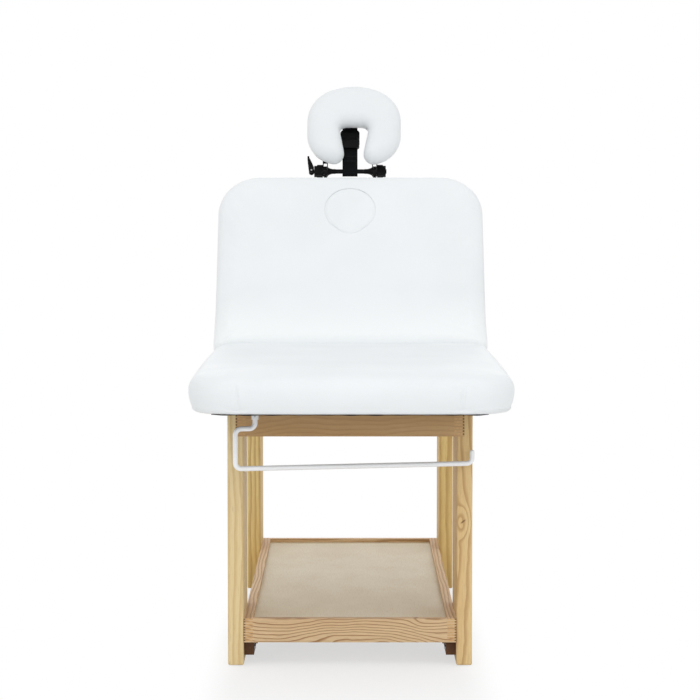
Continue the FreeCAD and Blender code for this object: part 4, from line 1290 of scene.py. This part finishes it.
@dataclass
class DustCover:
    """Black cloth stapled under the front of the seat board."""

    cloth: bpy.types.Material
    wire: bpy.types.Material
    half_width: float = 0.3215
    start: float = 0.020
    end: float = 0.249
    level: float = 0.6313
    spacing: float = 0.059
    corner: float = 0.118
    outer: float = 0.383
    thick: float = 0.0006
    grid: tuple[int, int] = (132, 24)
    edge_soft: float = 0.018
    edge_slip: float = 0.003
    sag_least: float = 0.0003
    sag_edge: float = 0.0011
    sag_middle: float = 0.0008
    staple: tuple[float, float, float] = (0.011, 0.0013, 0.0007)
    staple_low: float = 0.0011
    staple_in: float = 0.004
    side_in: float = 0.008
    side_first: float = 0.02
    side_pitch: float = 0.055

    def build(self) -> bpy.types.Object:
        """Make the cloth with a slack front edge between its staples."""
        width, depth = 2 * self.half_width, self.end - self.start
        foot = CAD_BOX[0][1]
        bpy.ops.object.select_all(action="DESELECT")
        bpy.ops.mesh.primitive_grid_add(x_subdivisions=self.grid[0], y_subdivisions=self.grid[1], size=1.0)
        sheet = bpy.context.object
        sheet.name = sheet.data.name = "seat_dust_cloth"
        points = corners(sheet)
        across = points[:, 0] * width
        share = points[:, 1] + 0.5
        swing = 0.5 - 0.5 * np.cos(2 * math.pi * across / self.spacing + math.pi)
        edge = np.exp(-share * depth / self.edge_soft)
        uneven = 0.55 + 0.45 * np.sin(across * 23.0 + 0.8)
        slack = edge * swing * uneven
        middle = np.sin(math.pi * share) * (0.5 + 0.5 * np.sin(across * 17.0))
        sag = self.sag_least + self.sag_edge * slack + self.sag_middle * middle
        first = self.start + self.round_off(across)
        depth_at = first + share * (self.end - first) - self.edge_slip * slack
        set_corners(sheet, np.column_stack((across, foot + depth_at, self.level - sag)))
        apply_modifier(sheet, "SOLIDIFY", {"thickness": self.thick, "offset": 0.0})
        smooth_shade(sheet, 50)
        return sheet

    def round_off(self, across: np.ndarray) -> np.ndarray:
        """How far the front edge falls back to follow the seat's round corners."""
        radius = self.corner - self.start
        beyond = np.clip(np.abs(across) - (self.outer - self.corner), 0.0, radius)
        return radius - np.sqrt(radius ** 2 - beyond ** 2)

    def build_staples(self) -> bpy.types.Object:
        """Drive staples along the cloth's front edge and sides."""
        foot = CAD_BOX[0][1]
        low = self.level - self.staple_low
        count = int(self.half_width / self.spacing)
        places = []
        for index in range(-count, count + 1):
            across = index * self.spacing
            back = float(self.round_off(np.array([across]))[0])
            places.append(Vector((across, foot + self.start + back + self.staple_in, low)))
        for index in range(1, 4):
            depth = foot + self.start + self.side_first + index * self.side_pitch
            places += [Vector((side * (self.half_width - self.side_in), depth, low)) for side in (-1, 1)]
        return copies("dust_cloth_staples", self.staple, places, 0.0)

    def dress(self, sheet: bpy.types.Object, staples: bpy.types.Object) -> None:
        """Finish the cloth and its staples and tie them to the table."""
        dress(sheet, self.cloth)
        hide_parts("seat_dust_cover")
        dress(staples, self.wire)
        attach(sheet, "base")
        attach(staples, "base")


@dataclass
class Carcase:
    """The frame's own solids and the finishes that they take."""

    timber: dict[str, Timber]
    plain: dict[str, bpy.types.Material]

    def dress(self) -> None:
        """Give every solid its finish."""
        for node, finish in self.timber.items():
            low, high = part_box(node)
            dress(frame["nodes"][node], finish.make("timber_" + node, (low + high) / 2))
        for node, material in self.plain.items():
            dress(frame["nodes"][node], material)


@dataclass
class Studio:
    """Floor, light and camera."""

    distance: float = 6.8707
    height: float = 1.1640
    pitch: float = 3.865
    lens: float = 126.55
    floor_lift: float = 0.66
    floor_size: float = 80.0
    floor_body: float = 0.92
    shade_side: tuple[float, float] = (0.36, 0.25)
    shade_rear: tuple[float, float] = (1.10, 0.80)
    shade_front: tuple[float, float] = (-1.35, -0.95)
    shade_depth: float = 0.035
    sky: float = 0.84
    lamps: tuple[tuple[Any, ...], ...] = (
        ("key_lamp", (-1.6, -3.6, 4.6), (0.0, 0.0, 0.5), 3.4, 32.0),
        ("top_lamp", (0.4, 0.6, 5.2), (0.0, 0.0, 0.6), 3.6, 14.0),
        ("front_lamp", (0.6, -5.4, 1.7), (0.0, 0.0, 0.9), 3.2, 18.0),
        ("rear_lamp", (0.0, 4.6, 1.8), (0.0, 0.2, 0.1), 2.6, 16.0),
        ("fill_lamp", (3.0, -3.8, 2.6), (0.0, 0.0, 0.7), 3.0, 15.0))

    def build(self) -> None:
        """Set up the floor, the sky, the lamps and the camera."""
        bpy.context.scene.view_settings.view_transform = "Standard"
        bpy.ops.object.select_all(action="DESELECT")
        bpy.ops.mesh.primitive_plane_add(size=self.floor_size)
        floor = bpy.context.object
        floor.name = floor.data.name = "studio_floor"
        dress(floor, self.floor_material())
        self.sky_light()
        for name, place, aim, size, power in self.lamps:
            self.add_lamp(name, Vector(place), Vector(aim), size, power)
        self.add_camera()

    def add_lamp(self, name: str, place: Vector, aim: Vector, size: float, power: float) -> None:
        """Hang one round soft lamp.

        Args:
            name: The lamp's name.
            place: Where it hangs.
            aim: The point that it faces.
            size: Its diameter in metres.
            power: Its power in watts.
        """
        lamp = bpy.data.lights.new(name, "AREA")
        lamp.shape = "DISK"
        lamp.size = size
        lamp.energy = power
        holder = bpy.data.objects.new(name, lamp)
        bpy.context.scene.collection.objects.link(holder)
        holder.location = place
        holder.rotation_euler = (aim - place).to_track_quat("-Z", "Y").to_euler()

    def add_camera(self) -> None:
        """Stand the camera before the foot end, at its measured distance from the hinge."""
        camera = bpy.data.cameras.new("camera")
        camera.sensor_width = 36.0
        camera.sensor_fit = "HORIZONTAL"
        camera.lens = self.lens
        camera.clip_end = 200.0
        stand = bpy.data.objects.new("camera", camera)
        bpy.context.scene.collection.objects.link(stand)
        stand.location = (0.0, RECLINE.hinge.y - self.distance, self.height)
        stand.rotation_euler = (math.radians(90.0 - self.pitch), 0.0, 0.0)
        bpy.context.scene.camera = stand

    def floor_material(self) -> bpy.types.Material:
        """Pale floor that keeps the shadow under the table and clears to white beside it."""
        art = Shader("studio_floor")
        seen = art.seen()
        across, along, _ = art.axes(art.place())
        under = abs(across).step(*self.shade_side) * along.step(*self.shade_rear)
        under = under * along.step(*self.shade_front)
        veil = seen * (1.0 - (1.0 - self.floor_lift) * under)
        # Painted shade: the floor's glow is dimmed under the table, besides the shadow that the lamps cast
        glow = veil * (1.0 - self.shade_depth * under)
        body = (1.0 - veil) * self.floor_body
        return art.surface({"Base Color": body, "Roughness": 0.9, "Specular IOR Level": 0.0,
                            "Emission Color": glow, "Emission Strength": 1.0})

    def sky_light(self) -> None:
        """White surroundings for the eye and for gloss, and a plainer sky for light."""
        art = Shader("studio_sky", sky=True)
        dim, bright = (art.node("ShaderNodeBackground", {}, {"Color": WHITE, "Strength": strength})
                       for strength in (self.sky, 1.0))
        both = art.node("ShaderNodeMixShader", {}, {0: art.seen(), 1: dim.outputs[0], 2: bright.outputs[0]})
        art.node("ShaderNodeOutputWorld", {}, {"Surface": both.outputs[0]})
        bpy.context.scene.world = art.owner


def timber_finishes() -> dict[str, Timber]:
    """Grain direction, seed and figure of each solid timber."""
    straw = {"pale": (236, 220, 178), "warm": (228, 206, 158), "late": (202, 170, 116), "line": 0.6}
    brown = {"pale": (228, 202, 150), "warm": (216, 184, 130), "late": (172, 128, 78), "line": 0.6}
    honey = {"pale": (240, 219, 158), "warm": (228, 198, 128), "late": (186, 146, 86), "line": 0.6}
    knot = (0.2725, RECLINE.hinge.y - 0.984, 0.352)
    finishes = {
        "leg_front_left": Timber(Grain.UPRIGHT, 1, (0.062, 0.040), 0.0092, **straw),
        "leg_front_right": Timber(Grain.UPRIGHT, 5, (-0.055, 0.052), 0.0080, knot=knot, wave=0.006, early=0.5,
                                  **brown),
        "leg_rear_left": Timber(Grain.UPRIGHT, 3, (0.050, -0.060), 0.0084, **honey),
        "leg_rear_right": Timber(Grain.UPRIGHT, 7, (-0.058, 0.050), 0.0088, **honey),
        # The front rail's darker browns are partly painted shade from under the seat's overhang
        "frame_front_rail": Timber(Grain.ACROSS, 11, (0.050, -0.052), 0.0110, pale=(208, 174, 128),
                                   warm=(194, 156, 108), line=0.34, wave=0.010, sway=0.070, drift=3.0),
        "frame_rear_rail": Timber(Grain.ACROSS, 12, (0.046, 0.060), 0.0086),
        "frame_cross_rail_front": Timber(Grain.ACROSS, 13, (0.040, 0.052), 0.0090),
        "frame_cross_rail_rear": Timber(Grain.ACROSS, 14, (0.060, -0.042), 0.0084),
        "shelf_front_rail": Timber(Grain.ACROSS, 15, (0.044, 0.066), 0.0080, pale=(218, 190, 150),
                                   warm=(208, 176, 136), late=(150, 108, 70), line=0.9, wave=0.011,
                                   sway=0.120, drift=3.2, early=0.58),
        "shelf_rear_rail": Timber(Grain.ACROSS, 16, (0.054, -0.046), 0.0088),
        "backrest_batten_left": Timber(Grain.RECLINED, 31, (0.050, 0.040)),
        "backrest_batten_right": Timber(Grain.RECLINED, 32, (-0.046, 0.044)),
    }
    for seed, side in ((21, "left"), (22, "right")):
        # The end bands darken the comb fingers' outer ends: open end pores with painted shade of the joint's
        # gap
        finishes["frame_side_rail_" + side] = Timber(Grain.LENGTHWISE, seed, (0.05, 0.05),
                                                     end_band=(0.2702, 0.2752))
        finishes["shelf_side_rail_" + side] = Timber(Grain.LENGTHWISE, seed + 2, (0.048, -0.05),
                                                     end_band=(0.2522, 0.2572))
        # The bearers' dark browns are painted shade: the bearers sit in the shadow under the shelf
        finishes["shelf_bearer_" + side] = Timber(Grain.LENGTHWISE, seed + 4, pale=(112, 84, 62),
                                                  warm=(98, 72, 52), late=(66, 46, 32))
    return finishes


def plain_finishes() -> dict[str, bpy.types.Material]:
    """Materials of the boards and the hardware, by node."""
    birch = Veneer().make("shelf_plywood")
    brown = {"face": (214, 190, 150), "shade": (198, 168, 124)}
    board = Veneer(**brown).make("board_plywood")
    back = Veneer(grain=Grain.RECLINED, up=tuple(RECLINE.out), **brown).make("back_plywood")
    zinc = ZINC.make("zinc_plate")
    black = Coated((9, 9, 10), (16, 16, 18), 0.50, 0.0, 1100.0, 0.00014, shine=0.14).make("black_powder_coat")
    moulded = Coated((8, 8, 9), (14, 14, 16), 0.48, 0.0, 700.0, 0.00009, shine=0.12).make("black_moulding")
    enamel = Coated((237, 238, 239), (229, 231, 232), 0.26, 0.0, 500.0, 0.00004, 0.25).make("white_enamel")
    glide = Coated((64, 60, 58), (84, 80, 76), 0.55, 0.0, 800.0, 0.0001).make("glide_nylon")
    groups = (
        (birch, ("shelf_panel",)), (board, ("seat_board",)), (back, ("backrest_board", "plug_board")),
        (zinc, ("leg_bolts", "leg_nuts", "shelf_screws", "seat_screws", "hinge_pins", "hinge_base_screws",
                "hinge_arm_screws", "roll_holder_set_screw", "cradle_cam_pin", "hinge_base_left",
                "hinge_base_right", "hinge_arm_left", "hinge_arm_right", "hinge_pawls")),
        (black, ("cradle_rod_left", "cradle_rod_right", "cradle_crossbar", "cradle_bracket_left",
                 "cradle_bracket_right")),
        (moulded, ("cradle_cam_block", "cradle_end_block", "cradle_cone_washers", "cradle_platform",
                   "cradle_buckle_socket", "cradle_buckle_prongs", "cradle_cam_lever", "cradle_socket_left",
                   "cradle_socket_right", "backrest_bumpers")),
        (enamel, ("roll_holder_rod", "roll_holder_socket")), (glide, ("foot_glides",)))
    return {node: material for material, nodes in groups for node in nodes}


def main() -> None:
    """Build the studio and the table's pieces in order."""
    logging.basicConfig(level=logging.INFO, format="%(message)s")
    Studio().build()
    Carcase(timber_finishes(), plain_finishes()).dress()
    LOG.info("timber and hardware finished")
    cover = Upholstery().make("white_coated_cloth")
    seat = Seat(cover, PadForm(length=1.235, voxel=0.009, cap=0.004, half_width=0.3855, aside=0.0032))
    seat.dress(seat.build())
    LOG.info("seat upholstered")
    # The backrest's cover has painted light, paler towards the fold
    back_cover_with_painted_light = Upholstery(painted_light_reach=0.24).make("white_cloth_painted_light_above_fold")
    backrest = Backrest(back_cover_with_painted_light, PadForm(length=0.620, voxel=0.0075, cap=0.004, far_corner=0.124), FaceHole())
    backrest.dress(backrest.build(), backrest.build_plug())
    LOG.info("backrest and plug upholstered")
    thread = Coated((48, 49, 52), (66, 67, 70), 0.7, 0.0, 3000.0, 0.0001).make("sewing_thread")
    pillow = Upholstery((234, 237, 239), (230, 234, 236)).make("white_cradle_cloth")
    cradle = FaceCradle(pillow, Webbing().make("black_webbing"), thread)
    cradle.dress(cradle.build_cushion(), cradle.build_tape(), cradle.build_stitches())
    LOG.info("face cradle dressed")
    dust = DustCover(DustCloth().make("black_dust_cloth"), ZINC.make("staple_wire"))
    dust.dress(dust.build(), dust.build_staples())
    LOG.info("dust cloth stapled")


if __name__ == "__main__":
    main()
